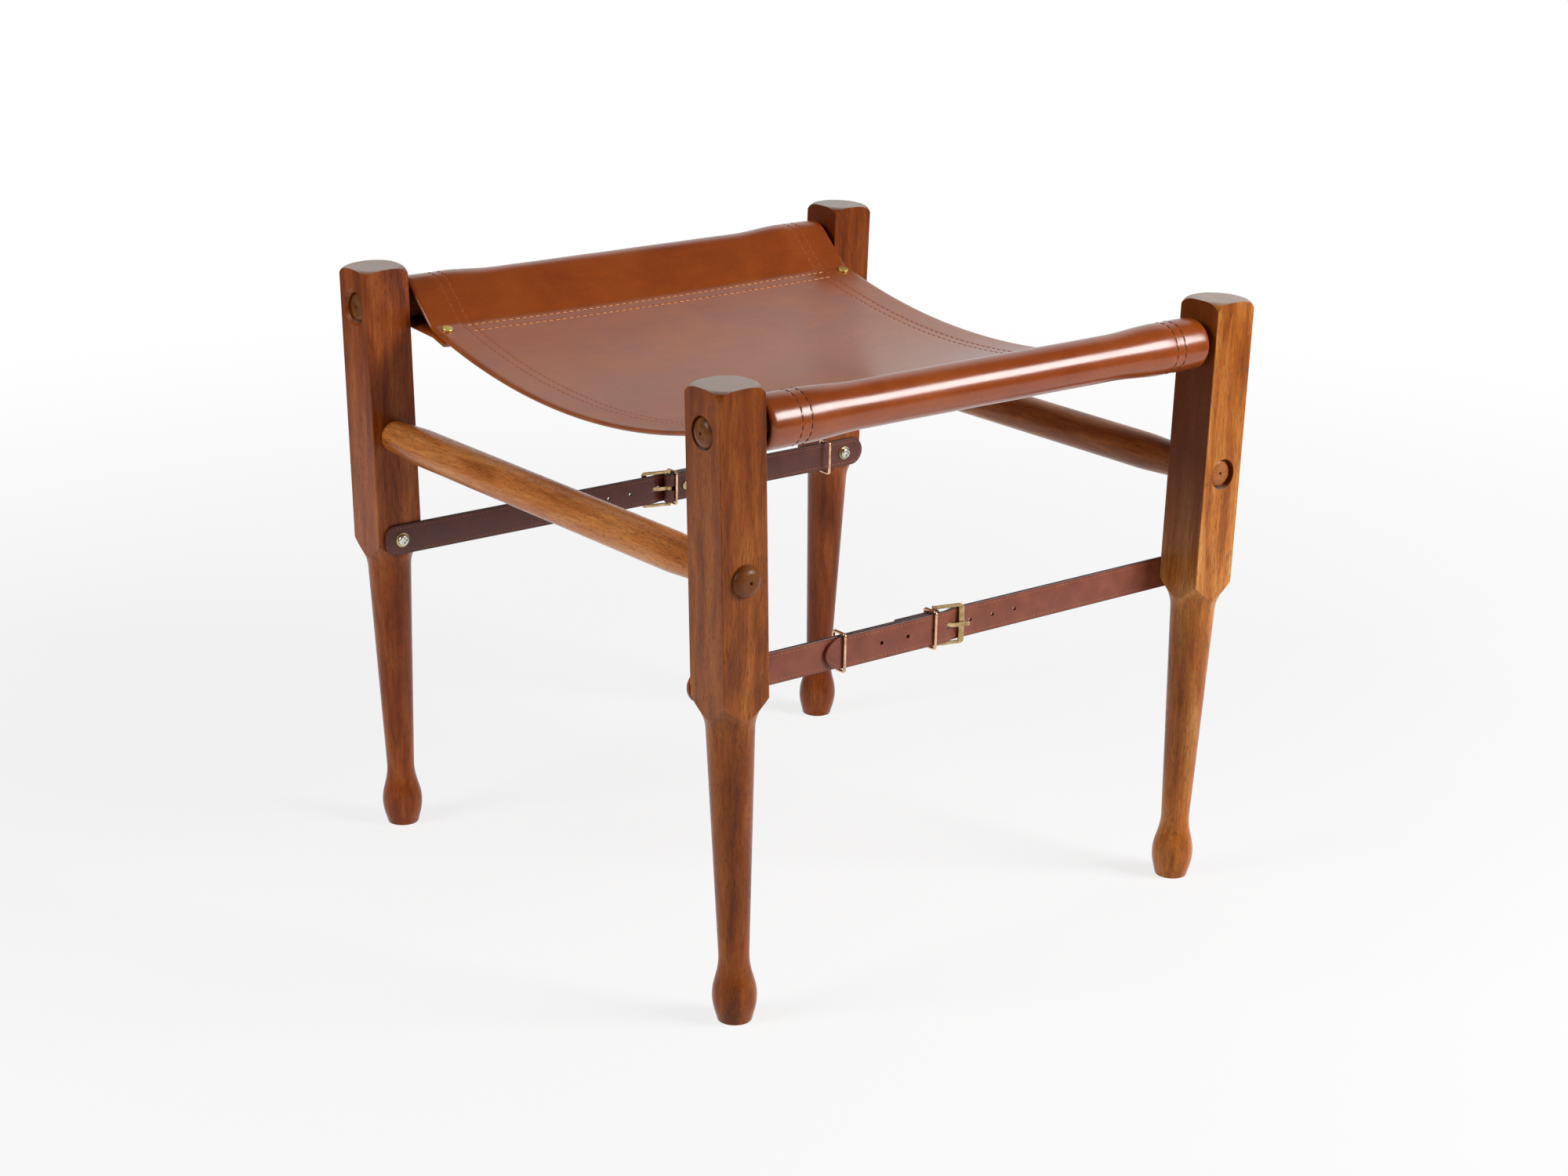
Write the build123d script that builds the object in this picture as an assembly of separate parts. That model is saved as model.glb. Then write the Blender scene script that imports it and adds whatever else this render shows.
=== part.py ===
from build123d import *
import math
import os

os.makedirs("parts", exist_ok=True)

# Knock-down safari stool, in millimetres.
# The floor is z = 0 and +Z is up. X runs along the two leather-covered seat
# rails, Y runs along the two bare side stretchers, and the origin is on the
# floor under the middle of the seat.

# Overall frame. The drops run down the leg: from its top to the seat rails, from
# these to the stretchers, and from the stretchers to the straps.
frame_width = 449.6
frame_depth = 439.6
leg_length = 453.7
leg_square = 38.0
leg_lean = 1.74
rail_drop = 31.1
stretcher_drop = 98.8
strap_drop = 82.2

# Turned leg: the corners of its turned outline, each rounded by a radius
foot_trim = 0.5
foot_radius = 11.9
foot_round = 1.2
bulb_corner_height = 18.8
bulb_corner_radius = 17.1
bulb_round = 39.0
neck_height = 43.0
neck_corner_radius = 10.5
neck_round = 50.0
square_start_drop = 2.1
cove_drop = 14.2
cove_radius = 17.0
cove_round = 30.0
arris_radius = 1.0
leg_top_round = 8.5

# Round rails and stretchers, whose tapered tenons are driven dry through the legs
rail_diameter = 28.2
stretcher_diameter = 28.4
tenon_mouth_radius = 12.1
tenon_exit_radius = 11.5
tenon_ease_length = 40.0
tenon_ease_radius = 180.0
proud_end_round = 7.0
shy_end_round = 4.5
tenon_clearance = 0.05
centre_hole_radius = 1.3
centre_hole_depth = 3.5
rail_proud = 1.5
rail_shy = 2.6
stretcher_proud = 6.3
stretcher_shy = 2.4
socket_chamfer = 2.5
socket_overrun = 4.0

# Leather sling: a single layer, doubled where its two side hems are turned in
leather_thickness = 2.4
wrap_clearance = 0.1
seat_leg_gap = 4.8
hem_width = 36.0
hem_step = 5.0
seat_drop = 37.4
seat_droop = 4.0
knee_distance = 43.8
knee_drop = 12.4
knee_droop = 2.5
knee_bend_radius = 12.0
flap_length = 13.6

# Rivets through the ends of the two sewn seams
seat_rivet_inset = 9.4
seat_rivet_knee_distance = 4.8
seat_rivet_cap_radius = 4.2
seat_rivet_cap_height = 1.4
seat_rivet_post_radius = 1.8
seat_rivet_burr_radius = 3.8
seat_rivet_burr_height = 1.0
rivet_clearance = 0.1
rivet_seat_gap = 0.2

# Straps: a buckle piece and a billet each, screwed to the inner faces of the legs
strap_width = 23.8
strap_thickness = 2.5
layer_gap = 0.15
buckle_end_reach = 19.8
buckle_end_round_length = 11.0
billet_end_reach = 14.7
billet_end_round_length = 9.0
billet_lift_length = 12.5
billet_bend_radius = 9.0
billet_tip_step = 103.0
billet_point_length = 16.0
billet_hole_radius = 1.5
billet_hole_pitch = 21.3
tip_hole_distance = 50.0
tip_hole_pitch = 24.0
prong_hole_step = 10.9
prong_hole_length = 9.6
prong_hole_width = 3.8
fold_flap_length = 35.7
fold_close_length = 8.5
fold_slot_width = 3.8
fold_slot_length = 7.0

# Buckle: its heel bar carries the prong, its end bar lies over the billet
front_heel_place = 21.0
back_heel_place = 33.0
front_hole_step = 31.7
back_hole_step = 37.4
front_hole_count = 3
back_hole_count = 2
tip_hole_count = 3
buckle_length = 22.0
buckle_height = 30.0
buckle_side_bar = 2.4
buckle_end_bar = 4.4
buckle_thickness = 2.0
buckle_corner_radius = 3.4
buckle_heel_corner = 1.2
buckle_edge_round = 0.5
heel_bar_radius = 1.4
heel_clearance = 0.1
end_bar_lift = 1.8

# Prong, bent to run from the heel bar through the billet and over the end bar
prong_width = 3.0
prong_thickness = 1.8
prong_wall = 1.1
prong_play = 0.05
prong_rest_gap = 0.1
prong_low_length = 8.5
prong_low_drop = 1.6
prong_rise_length = 5.3
prong_overhang = 2.8
prong_bend_radius = 3.0
prong_tip_round = 0.7

# Wire keepers that slide along the straps
keeper_wire_radius = 1.1
keeper_inner_height = 25.2
keeper_inner_depth = 10.2
keeper_corner_radius = 2.0
keeper_gap = 0.3
near_keeper_distance = 4.6
far_keeper_place = 108.5
far_keeper_leg_gap = 0.5

# Fold rivets, screws and washers
fold_rivet_distance = 16.3
fold_rivet_cap_radius = 3.6
fold_rivet_cap_height = 1.0
fold_rivet_post_radius = 1.4
fold_rivet_flare_radius = 2.5
fold_rivet_flare_height = 1.1
cap_edge_share = 0.45
screw_head_radius = 4.5
screw_head_height = 2.6
screw_head_edge_radius = 1.6
screw_shank_radius = 1.9
screw_length = 22.0
screw_point_length = 5.0
screw_seat_gap = 0.05
screw_clearance = 0.15
cross_width = 1.1
cross_length = 5.2
cross_depth = 1.4
washer_radius = 5.75
washer_thickness = 1.0
washer_edge_round = 0.3

# Values worked out from the sizes above
rail_height = leg_length - rail_drop
stretcher_height = rail_height - stretcher_drop
strap_height = stretcher_height - strap_drop
square_start_height = strap_height - square_start_drop
cove_height = square_start_height - cove_drop
half_width = frame_width / 2
half_depth = frame_depth / 2
half_square = leg_square / 2
inner_face = half_depth - half_square
corner_reach = half_square * math.sqrt(2)
half_seat = half_width - half_square - seat_leg_gap
rail_radius = rail_diameter / 2
stretcher_radius = stretcher_diameter / 2
half_strap = strap_width / 2
tenon_slope = (tenon_mouth_radius - tenon_exit_radius) / leg_square
strap_middle = strap_thickness / 2
heel_depth = strap_thickness + heel_bar_radius + heel_clearance
fold_middle = heel_depth + heel_bar_radius + heel_clearance + strap_middle
billet_middle = -strap_middle - layer_gap
buckle_tilt = math.degrees(math.asin((heel_depth + end_bar_lift) / buckle_length))
upward = (Align.CENTER, Align.CENTER, Align.MIN)


def leg_centre(height):
    """Distance of a leg's axis from the middle of the stool, along X, at a height."""
    return half_width + (height - rail_height) * math.tan(math.radians(leg_lean))


screw_place = leg_centre(strap_height)
buckle_end = screw_place + buckle_end_reach
billet_end = screw_place + billet_end_reach


def revolved(corners, rounds):
    """Solid turned about Z from the corners of its outline, each with its round."""
    outline = FilletPolyline(*corners, radius=rounds, close=True)
    return revolve(Plane.XZ * make_face(outline), Axis.Z)


# Legs

def leg_blank():
    """Rounded square prism cut to one turned profile, upright on the origin."""
    corners = [
        (0, 0),
        (foot_radius, 0),
        (bulb_corner_radius, bulb_corner_height),
        (neck_corner_radius, neck_height),
        (cove_radius, cove_height),
        (corner_reach, square_start_height),
        (corner_reach, leg_length),
        (0, leg_length),
    ]
    rounds = [0, foot_round, bulb_round, neck_round, cove_round, 0, leg_top_round, 0]
    squared = extrude(RectangleRounded(leg_square, leg_square, arris_radius), leg_length)
    return squared & revolved(corners, rounds)


def outward(side_x, side_y):
    """Rotation that turns +Z to an outward direction of the frame."""
    if side_x:
        return Rot(0, 90 * side_x, 0)
    return Rot(-90 * side_y, 0, 0)


def tapered_socket(flared):
    """Through socket along +Z, from the leg's inner face at zero to its outer face."""
    mouth = tenon_mouth_radius + tenon_slope * socket_overrun
    tip = tenon_exit_radius - tenon_slope * socket_overrun
    socket = Cone(mouth, tip, leg_square + 2 * socket_overrun, align=upward)
    socket = Pos(0, 0, -socket_overrun) * socket
    if flared:
        wide = tenon_exit_radius + 2 * socket_chamfer
        flare = Cone(tenon_exit_radius, wide, 2 * socket_chamfer, align=upward)
        socket += Pos(0, 0, leg_square - socket_chamfer) * flare
    return socket


def leg(side_x, side_y):
    """A leg in its corner, its foot leaning inwards along X and trimmed level."""
    axis = Pos(side_x * leg_centre(-foot_trim), side_y * half_depth, -foot_trim)
    body = axis * Rot(0, side_x * leg_lean, 0) * leg_blank()
    body -= Pos(0, 0, -leg_square / 2) * Box(2 * frame_width, 2 * frame_depth, leg_square)
    rail_mouth = Pos(side_x * (half_width - half_square), side_y * half_depth, rail_height)
    body -= rail_mouth * outward(side_x, 0) * tapered_socket(side_x * side_y < 0)
    stretcher_mouth = Pos(
        side_x * leg_centre(stretcher_height), side_y * inner_face, stretcher_height
    )
    body -= stretcher_mouth * outward(0, side_y) * tapered_socket(False)
    pilot = Pos(side_x * screw_place, side_y * (inner_face - screw_clearance), strap_height)
    pilot_hole = extrude(Circle(screw_shank_radius + tenon_clearance), screw_length)
    return body - pilot * outward(0, side_y) * pilot_hole


# Rails and stretchers

def dowel(radius, clear_length, proud, shy):
    """Round bar along Z about its middle; its upper tenon is the proud one."""
    half = clear_length / 2
    top = half + leg_square + proud
    bottom = half + leg_square - shy
    mouth = tenon_mouth_radius - tenon_clearance
    top_tip = mouth - tenon_slope * (leg_square + proud)
    bottom_tip = mouth - tenon_slope * (leg_square - shy)
    corners = [
        (0, top),
        (top_tip, top),
        (mouth, half),
        (radius, half - tenon_ease_length),
        (radius, tenon_ease_length - half),
        (mouth, -half),
        (bottom_tip, -bottom),
        (0, -bottom),
    ]
    ease = tenon_ease_radius
    rounds = [0, proud_end_round, 0, ease, ease, 0, shy_end_round, 0]
    bar = revolved(corners, rounds)
    dimple = Cone(0, 2 * centre_hole_radius, 2 * centre_hole_depth)
    return bar - Pos(0, 0, top) * dimple - Pos(0, 0, -bottom) * Rot(180, 0, 0) * dimple


def seat_rail(side_y):
    """Front or back seat rail: nearly flush with one leg and shy of the other."""
    bar = dowel(rail_radius, frame_width - leg_square, rail_proud, rail_shy)
    return Pos(0, side_y * half_depth, rail_height) * outward(side_y, 0) * bar


def side_stretcher(side_x):
    """Left or right stretcher: proud of one leg and shy of the other."""
    bar = dowel(stretcher_radius, 2 * inner_face, stretcher_proud, stretcher_shy)
    place = Pos(side_x * leg_centre(stretcher_height), 0, stretcher_height)
    return place * outward(0, side_x) * bar


# Leather sling, drawn across the rails: the first coordinate is Y, the second Z

def below(centre, radius, slope):
    """Point under a centre where a circle around it has this slope, in degrees."""
    turn = math.radians(slope)
    return (centre[0] + radius * math.sin(turn), centre[1] - radius * math.cos(turn))


def tangent_slope(start, end, start_radius, end_radius):
    """Slope of the line that passes under the start circle and over the end circle.

    A negative end radius gives the line that passes under both."""
    run = end[0] - start[0]
    rise = end[1] - start[1]
    turn = math.asin((start_radius + end_radius) / math.hypot(run, rise))
    return math.degrees(math.atan2(rise, run) + turn)


def seat_arc(place):
    """Middle height, centre and radius of the slung seat's arc at a place along X."""
    droop_share = 1 - (place / half_seat) ** 2
    middle = rail_height - seat_drop - seat_droop * droop_share
    rise = rail_height - knee_drop - knee_droop * droop_share - middle
    knee = half_depth - knee_distance
    radius = (knee * knee + rise * rise) / (2 * rise)
    return middle, (0, middle + radius), radius


def arc_slope(across, radius):
    """Slope of the seat's arc at a distance from the middle."""
    return math.degrees(math.asin(across / radius))


def run_edge(run):
    """Arc through three points, or line through two."""
    if len(run) == 3:
        return ThreePointArc(*run)
    return Line(*run)


def mirrored(run):
    """The same points on the other side of the sling's middle."""
    return [(-across, height) for across, height in run]


def sling_faces(place, layers):
    """Section of the sling across both rails, and of the hollow of its right roll."""
    sheet = layers * leather_thickness
    middle, arc_centre, arc_radius = seat_arc(place)
    knee_slope = arc_slope(half_depth - knee_distance, arc_radius)
    flap_slope = arc_slope(half_depth - knee_distance - flap_length, arc_radius)
    flap_side = (knee_slope + flap_slope) / 2
    roll_centre = (half_depth, rail_height)
    inner = rail_radius + wrap_clearance
    outer = inner + sheet

    # The upper layer bends up at the knee and lies over the rail; the lower
    # one comes back under the rail to the seam and ends in the flap
    bend_centre = below(arc_centre, arc_radius - knee_bend_radius, knee_slope)
    upper = tangent_slope(bend_centre, roll_centre, knee_bend_radius, outer)
    flap_corner = below(arc_centre, arc_radius + 2 * sheet, knee_slope)
    lower = tangent_slope(flap_corner, roll_centre, 0, -outer)
    knee = below(arc_centre, arc_radius, knee_slope)
    bend_end = below(bend_centre, knee_bend_radius, upper)
    roll_top = below(roll_centre, -outer, upper)
    roll_side = (upper + 180 + lower) / 2
    roll_bottom = below(roll_centre, outer, lower)
    flap_end = below(arc_centre, arc_radius + 2 * sheet, flap_slope)
    under = below(arc_centre, arc_radius + sheet, flap_slope)
    runs = [
        [knee, below(bend_centre, knee_bend_radius, (knee_slope + upper) / 2), bend_end],
        [bend_end, roll_top],
        [roll_top, below(roll_centre, outer, roll_side), roll_bottom],
        [roll_bottom, flap_corner],
        [flap_corner, below(arc_centre, arc_radius + 2 * sheet, flap_side), flap_end],
        [flap_end, under],
    ]
    runs += [mirrored(run) for run in runs]
    runs.append(mirrored([knee]) + [(0, middle), knee])
    runs.append(mirrored([under]) + [(0, middle - sheet), under])

    # The hollow is the inner circle and the two tangents that meet at the seam
    reach = inner / math.sin(math.radians((upper - lower) / 2))
    aim = math.radians((upper + lower) / 2)
    cusp = (half_depth - reach * math.cos(aim), rail_height - reach * math.sin(aim))
    hollow_top = below(roll_centre, -inner, upper)
    hollow_bottom = below(roll_centre, inner, lower)
    hollow_runs = [
        [cusp, hollow_top],
        [hollow_top, below(roll_centre, inner, roll_side), hollow_bottom],
        [hollow_bottom, cusp],
    ]
    return [make_face([run_edge(run) for run in outline]) for outline in (runs, hollow_runs)]


def sling_stretch(stations, ruled):
    """Stretch of the sling between stations: places along X with their layers."""
    skins = []
    hollows = []
    for place, layers in stations:
        face, hollow = sling_faces(place, layers)
        skins.append(Plane.YZ.offset(place) * face)
        hollows.append(Plane.YZ.offset(place) * hollow)
    roll_space = loft(hollows, ruled=ruled)
    return loft(skins, ruled=ruled) - roll_space - mirror(roll_space, about=Plane.XZ)


def rivet_axis(side_x, side_y):
    """Place on top of the seat, beside the knee, with +Z square to the leather."""
    place = half_seat - seat_rivet_inset
    middle, arc_centre, radius = seat_arc(place)
    slope = arc_slope(half_depth - knee_distance - seat_rivet_knee_distance, radius)
    across, height = below(arc_centre, radius, slope)
    return Pos(side_x * place, side_y * across, height) * Rot(side_y * slope, 0, 0)


def seat_leather():
    """Sling: single in the middle, double in the hems, pierced for four rivets."""
    hem_inner = half_seat - hem_width
    single_end = hem_inner - hem_step
    sling = sling_stretch([(-single_end, 1), (0, 1), (single_end, 1)], False)
    for side in (-1, 1):
        sling += sling_stretch([(side * single_end, 1), (side * hem_inner, 2)], True)
        sling += sling_stretch([(side * hem_inner, 2), (side * half_seat, 2)], True)
    hole = Cylinder(seat_rivet_post_radius + rivet_clearance, knee_distance)
    for side_x in (-1, 1):
        for side_y in (-1, 1):
            sling -= rivet_axis(side_x, side_y) * hole
    return sling


def seat_rivet():
    """Rivet with its cap on top of the seat at zero and its burr under four layers."""
    cap = seat_rivet_cap_height + rivet_seat_gap
    burr = -4 * leather_thickness - rivet_seat_gap
    end = burr - seat_rivet_burr_height
    corners = [
        (0, cap),
        (seat_rivet_cap_radius, cap),
        (seat_rivet_cap_radius, rivet_seat_gap),
        (seat_rivet_post_radius, rivet_seat_gap),
        (seat_rivet_post_radius, burr),
        (seat_rivet_burr_radius, burr),
        (seat_rivet_burr_radius, end),
        (0, end),
    ]
    cap_round = seat_rivet_cap_height * cap_edge_share
    burr_round = seat_rivet_burr_height * cap_edge_share
    return revolved(corners, [0, cap_round, 0, 0, 0, 0, burr_round, 0])


def seat_rivets():
    """Four rivets, one at each end of each seam."""
    rivets = [rivet_axis(x, y) * seat_rivet() for x in (-1, 1) for y in (-1, 1)]
    return Compound(children=rivets)


# Straps. Each is drawn as the front one: X along the strap, Y inwards from the
# inner leg faces, Z up from the strap's middle, with the buckle piece at -X.

def strap_place(side_y):
    """Place of the front strap, or of the back one, turned half round."""
    turn = Rot(0, 0, 0) if side_y < 0 else Rot(0, 0, 180)
    return turn * Pos(0, -inner_face, strap_height)


def across_strap(outline, width):
    """Solid of an outline in X and Y, as wide as given about the strap's middle."""
    return Pos(0, 0, -width / 2) * extrude(outline, width)


def through_strap(outline):
    """Cutter of an outline in X and Z, long enough for every layer of the strap."""
    return extrude(Plane.XZ * outline, 8 * strap_thickness, both=True)


def rounded_end(end, round_length):
    """Outline outside a strap end that runs out in half an ellipse, at +X or -X."""
    block = Pos(end, 0) * Rectangle(2 * round_length, 2 * strap_width)
    centre = end - math.copysign(round_length, end)
    return block - Pos(centre, 0) * Ellipse(round_length, half_strap)


def screw_end(end, round_length):
    """Cutter for a strap's screwed end: its rounding and the hole for the screw."""
    hole = Circle(screw_shank_radius + screw_clearance)
    centre = math.copysign(screw_place, end)
    return through_strap(rounded_end(end, round_length) + Pos(centre, 0) * hole)


def buckle_piece(heel):
    """Strap end screwed at -X, folded round the heel bar and riveted to itself."""
    ramp_start = heel - heel_bar_radius
    ramp_end = heel - fold_close_length
    flap_end = heel - fold_flap_length
    tunnel = fold_middle - strap_middle
    face = fold_middle + strap_middle
    nose = ThreePointArc((heel, 0), (heel + heel_depth, heel_depth), (heel, face))
    rest = Polyline(
        (heel, face),
        (ramp_start, face),
        (ramp_end, 2 * strap_thickness),
        (flap_end, 2 * strap_thickness),
        (flap_end, strap_thickness),
        (-buckle_end, strap_thickness),
        (-buckle_end, 0),
        (heel, 0),
    )
    bend = ThreePointArc(
        (heel, strap_thickness),
        (heel + heel_depth - strap_thickness, heel_depth),
        (heel, tunnel),
    )
    walls = Polyline(
        (heel, tunnel), (ramp_start, tunnel), (ramp_end, strap_thickness), (heel, strap_thickness)
    )
    section = make_face([nose] + rest.edges()) - make_face([bend] + walls.edges())
    piece = across_strap(section, strap_width)
    piece -= Pos(heel, 0, 0) * through_strap(SlotOverall(2 * fold_slot_length, fold_slot_width))
    rivet = Pos(heel - fold_rivet_distance, 0, 0)
    piece -= rivet * through_strap(Circle(fold_rivet_post_radius + rivet_clearance))
    flare = Cone(
        fold_rivet_flare_radius + rivet_clearance,
        fold_rivet_post_radius + rivet_clearance,
        fold_rivet_flare_height,
        align=upward,
    )
    piece -= rivet * Rot(-90, 0, 0) * flare
    return piece - screw_end(-buckle_end, buckle_end_round_length)


def billet(heel, first_hole_step, hole_count):
    """Long strap end screwed at +X, lifting over the fold to a round point at -X."""
    tip = heel - billet_tip_step
    lift_start = heel + prong_hole_step + billet_lift_length / 2
    path = FilletPolyline(
        (billet_end, strap_middle),
        (lift_start, strap_middle),
        (lift_start - billet_lift_length, billet_middle),
        (tip, billet_middle),
        radius=billet_bend_radius,
    )
    strip = across_strap(trace(path, line_width=strap_thickness), strap_width)
    strip -= through_strap(rounded_end(tip, billet_point_length))
    strip -= screw_end(billet_end, billet_end_round_length)
    slot = SlotOverall(prong_hole_length, prong_hole_width)
    strip -= Pos(heel + prong_hole_step, 0, 0) * through_strap(slot)
    places = [heel + first_hole_step + k * billet_hole_pitch for k in range(hole_count)]
    places += [tip + tip_hole_distance + k * tip_hole_pitch for k in range(tip_hole_count)]
    for place in places:
        strip -= Pos(place, 0, 0) * through_strap(Circle(billet_hole_radius))
    return strip


# Buckles

def buckle_frame(heel):
    """Flat frame tilted about its round heel bar, its end bar outside the strap."""
    start = -heel_bar_radius
    end = buckle_length + buckle_end_bar / 2
    plate = Pos((start + end) / 2, 0) * Rectangle(end - start, buckle_height)
    plate = fillet(plate.vertices().group_by(Axis.X)[-1], buckle_corner_radius)
    plate = fillet(plate.vertices().group_by(Axis.X)[0], buckle_heel_corner)
    window_end = buckle_length - buckle_end_bar / 2
    window = Rectangle(window_end - 2 * start, buckle_height - 2 * buckle_side_bar)
    window = Pos((window_end + 2 * start) / 2, 0) * window
    frame = extrude(plate - window, buckle_thickness / 2, both=True)
    frame = fillet(frame.faces().filter_by(Axis.Z).edges(), buckle_edge_round)
    frame += Rot(90, 0, 0) * Cylinder(heel_bar_radius, buckle_height)
    return Pos(heel, heel_depth, 0) * Rot(0, 0, -buckle_tilt) * Rot(90, 0, 0) * frame


def prong(heel):
    """Tongue with an eye round the heel bar, passing through the billet."""
    tilt = math.radians(buckle_tilt)
    over_bar = buckle_thickness / 2 + prong_rest_gap + prong_thickness / 2
    bar_step = buckle_length * math.cos(tilt)
    bar_depth = -end_bar_lift - over_bar / math.cos(tilt)
    low_end = prong_low_length + prong_rise_length
    tip = bar_step + buckle_end_bar / 2 + prong_overhang
    path = FilletPolyline(
        (heel, heel_depth),
        (heel + prong_low_length, heel_depth - prong_low_drop),
        (heel + low_end, bar_depth + math.tan(tilt) * (bar_step - low_end)),
        (heel + tip, bar_depth + math.tan(tilt) * (bar_step - tip)),
        radius=prong_bend_radius,
    )
    tongue = across_strap(trace(path, line_width=prong_thickness), prong_width)
    tongue = fillet(tongue.faces().sort_by(Axis.X)[-1].edges(), prong_tip_round)
    eye_bore = heel_bar_radius + prong_play
    heel_axis = Pos(heel, heel_depth, 0)
    tongue += heel_axis * Cylinder(eye_bore + prong_wall, prong_width)
    return tongue - heel_axis * Cylinder(eye_bore, strap_width)


# Keepers

def keeper(place):
    """Closed wire loop round the strap's layers, hanging on its top edge."""
    height = keeper_inner_height + 2 * keeper_wire_radius
    depth = keeper_inner_depth + 2 * keeper_wire_radius
    top = half_strap + keeper_gap + keeper_wire_radius
    outside = billet_middle - strap_middle - keeper_gap - keeper_wire_radius
    loop = RectangleRounded(depth, height, keeper_corner_radius).wire()
    loop = Plane.YZ * Pos(outside + depth / 2, top - height / 2) * loop
    start = loop.edges().sort_by(Axis.Z)[-1]
    section = Plane(origin=start @ 0.5, z_dir=start % 0.5) * Circle(keeper_wire_radius)
    return Pos(place, 0, 0) * sweep(section, path=loop)


# Fold rivets, screws and washers, each made along +Z

def fastener_place(place, depth):
    """Place along the strap and depth, with +Z pointing inwards from the leg."""
    return Pos(place, depth, 0) * Rot(-90, 0, 0)


def fold_rivet(heel):
    """Rivet through the two layers of the fold, its tail flush under the billet."""
    seat = 2 * strap_thickness + rivet_seat_gap
    cap = seat + fold_rivet_cap_height
    corners = [
        (0, 0),
        (fold_rivet_flare_radius, 0),
        (fold_rivet_post_radius, fold_rivet_flare_height),
        (fold_rivet_post_radius, seat),
        (fold_rivet_cap_radius, seat),
        (fold_rivet_cap_radius, cap),
        (0, cap),
    ]
    rounds = [0, 0, 0, 0, 0, fold_rivet_cap_height * cap_edge_share, 0]
    return fastener_place(heel - fold_rivet_distance, 0) * revolved(corners, rounds)


def strap_washer():
    """Flat washer on the strap."""
    ring = extrude(Circle(washer_radius), washer_thickness)
    ring = fillet(ring.edges().group_by(Axis.Z)[-1], washer_edge_round)
    return ring - Cylinder(screw_shank_radius + screw_clearance, 4 * washer_thickness)


def strap_screw():
    """Pan-head wood screw with a cross recess, its head's underside at zero."""
    corners = [
        (0, screw_head_height),
        (screw_head_radius, screw_head_height),
        (screw_head_radius, 0),
        (screw_shank_radius, 0),
        (screw_shank_radius, screw_point_length - screw_length),
        (0, -screw_length),
    ]
    screw = revolved(corners, [0, screw_head_edge_radius, 0, 0, 0, 0])
    bar = Pos(0, 0, screw_head_height) * Box(cross_length, cross_width, 2 * cross_depth)
    return screw - bar - Rot(0, 0, 90) * bar


def on_straps(piece, depth):
    """The same piece at both ends of both straps."""
    copies = []
    for side_y in (-1, 1):
        for side_x in (-1, 1):
            place = fastener_place(side_x * screw_place, depth)
            copies.append(strap_place(side_y) * place * piece)
    return Compound(children=copies)


# Assembly

pieces = {}
for side_x, across_name in ((-1, "left"), (1, "right")):
    for side_y, along_name in ((-1, "front"), (1, "back")):
        pieces[f"leg_{along_name}_{across_name}"] = leg(side_x, side_y)
    pieces[f"side_stretcher_{across_name}"] = side_stretcher(side_x)

pieces["seat_leather"] = seat_leather()
pieces["seat_rivets"] = seat_rivets()

for name, side_y, heel, hole_step, hole_count in (
    ("front", -1, -front_heel_place, front_hole_step, front_hole_count),
    ("back", 1, -back_heel_place, back_hole_step, back_hole_count),
):
    place = strap_place(side_y)
    pieces[f"seat_rail_{name}"] = seat_rail(side_y)
    pieces[f"{name}_strap_buckle_piece"] = place * buckle_piece(heel)
    pieces[f"{name}_strap_billet"] = place * billet(heel, hole_step, hole_count)
    pieces[f"{name}_buckle_frame"] = place * buckle_frame(heel)
    pieces[f"{name}_buckle_prong"] = place * prong(heel)
    pieces[f"{name}_keeper_near"] = place * keeper(heel - near_keeper_distance)
    pieces[f"{name}_fold_rivet"] = place * fold_rivet(heel)

leg_side = screw_place - half_square - keeper_wire_radius - far_keeper_leg_gap
pieces["front_keeper_far"] = strap_place(-1) * keeper(-far_keeper_place)
pieces["back_keeper_far"] = strap_place(1) * keeper(-leg_side)
washer_top = strap_thickness + washer_thickness + screw_seat_gap
pieces["strap_washers"] = on_straps(strap_washer(), strap_thickness)
pieces["strap_screws"] = on_straps(strap_screw(), washer_top)

for name, piece in pieces.items():
    piece.label = name
    export_step(piece, f"parts/{name}.step")
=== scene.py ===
# %% [markdown]
# # A knock-down safari stool
# Four turned hardwood legs, two rails inside a leather sling, two bare
# stretchers, and two buckled straps. The rigid pieces come in ready made, as
# the frame. This script dresses them: it gives wood and metal their finish,
# and makes the sling, the straps and their stitching as real leather pieces.

# %% Load the frame
import math

import bmesh
import bpy
import numpy as np
from mathutils import Matrix, Vector, noise


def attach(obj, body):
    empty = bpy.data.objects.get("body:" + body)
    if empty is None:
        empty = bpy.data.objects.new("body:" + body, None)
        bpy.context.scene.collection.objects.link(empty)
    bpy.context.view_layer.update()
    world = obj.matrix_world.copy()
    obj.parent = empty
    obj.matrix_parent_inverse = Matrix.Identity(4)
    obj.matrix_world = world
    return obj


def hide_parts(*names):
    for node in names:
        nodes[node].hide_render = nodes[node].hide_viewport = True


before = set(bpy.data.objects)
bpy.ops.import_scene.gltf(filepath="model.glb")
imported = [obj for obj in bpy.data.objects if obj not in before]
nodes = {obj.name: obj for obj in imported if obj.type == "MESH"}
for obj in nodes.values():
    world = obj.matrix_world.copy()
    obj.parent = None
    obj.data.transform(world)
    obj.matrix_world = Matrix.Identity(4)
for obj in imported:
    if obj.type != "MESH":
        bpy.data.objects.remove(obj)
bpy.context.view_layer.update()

# %% [markdown]
# ## Helpers for finishes
# Colours are written as they look on a screen, in hex, and the shader wants
# them linear, so one function turns them. Every finish is a small tree of
# nodes, and one function adds a node: its settings are given by name, and each
# input gets either a fixed value or the output that feeds it. Two more start a
# material and write a plain value as a colour.

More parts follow.
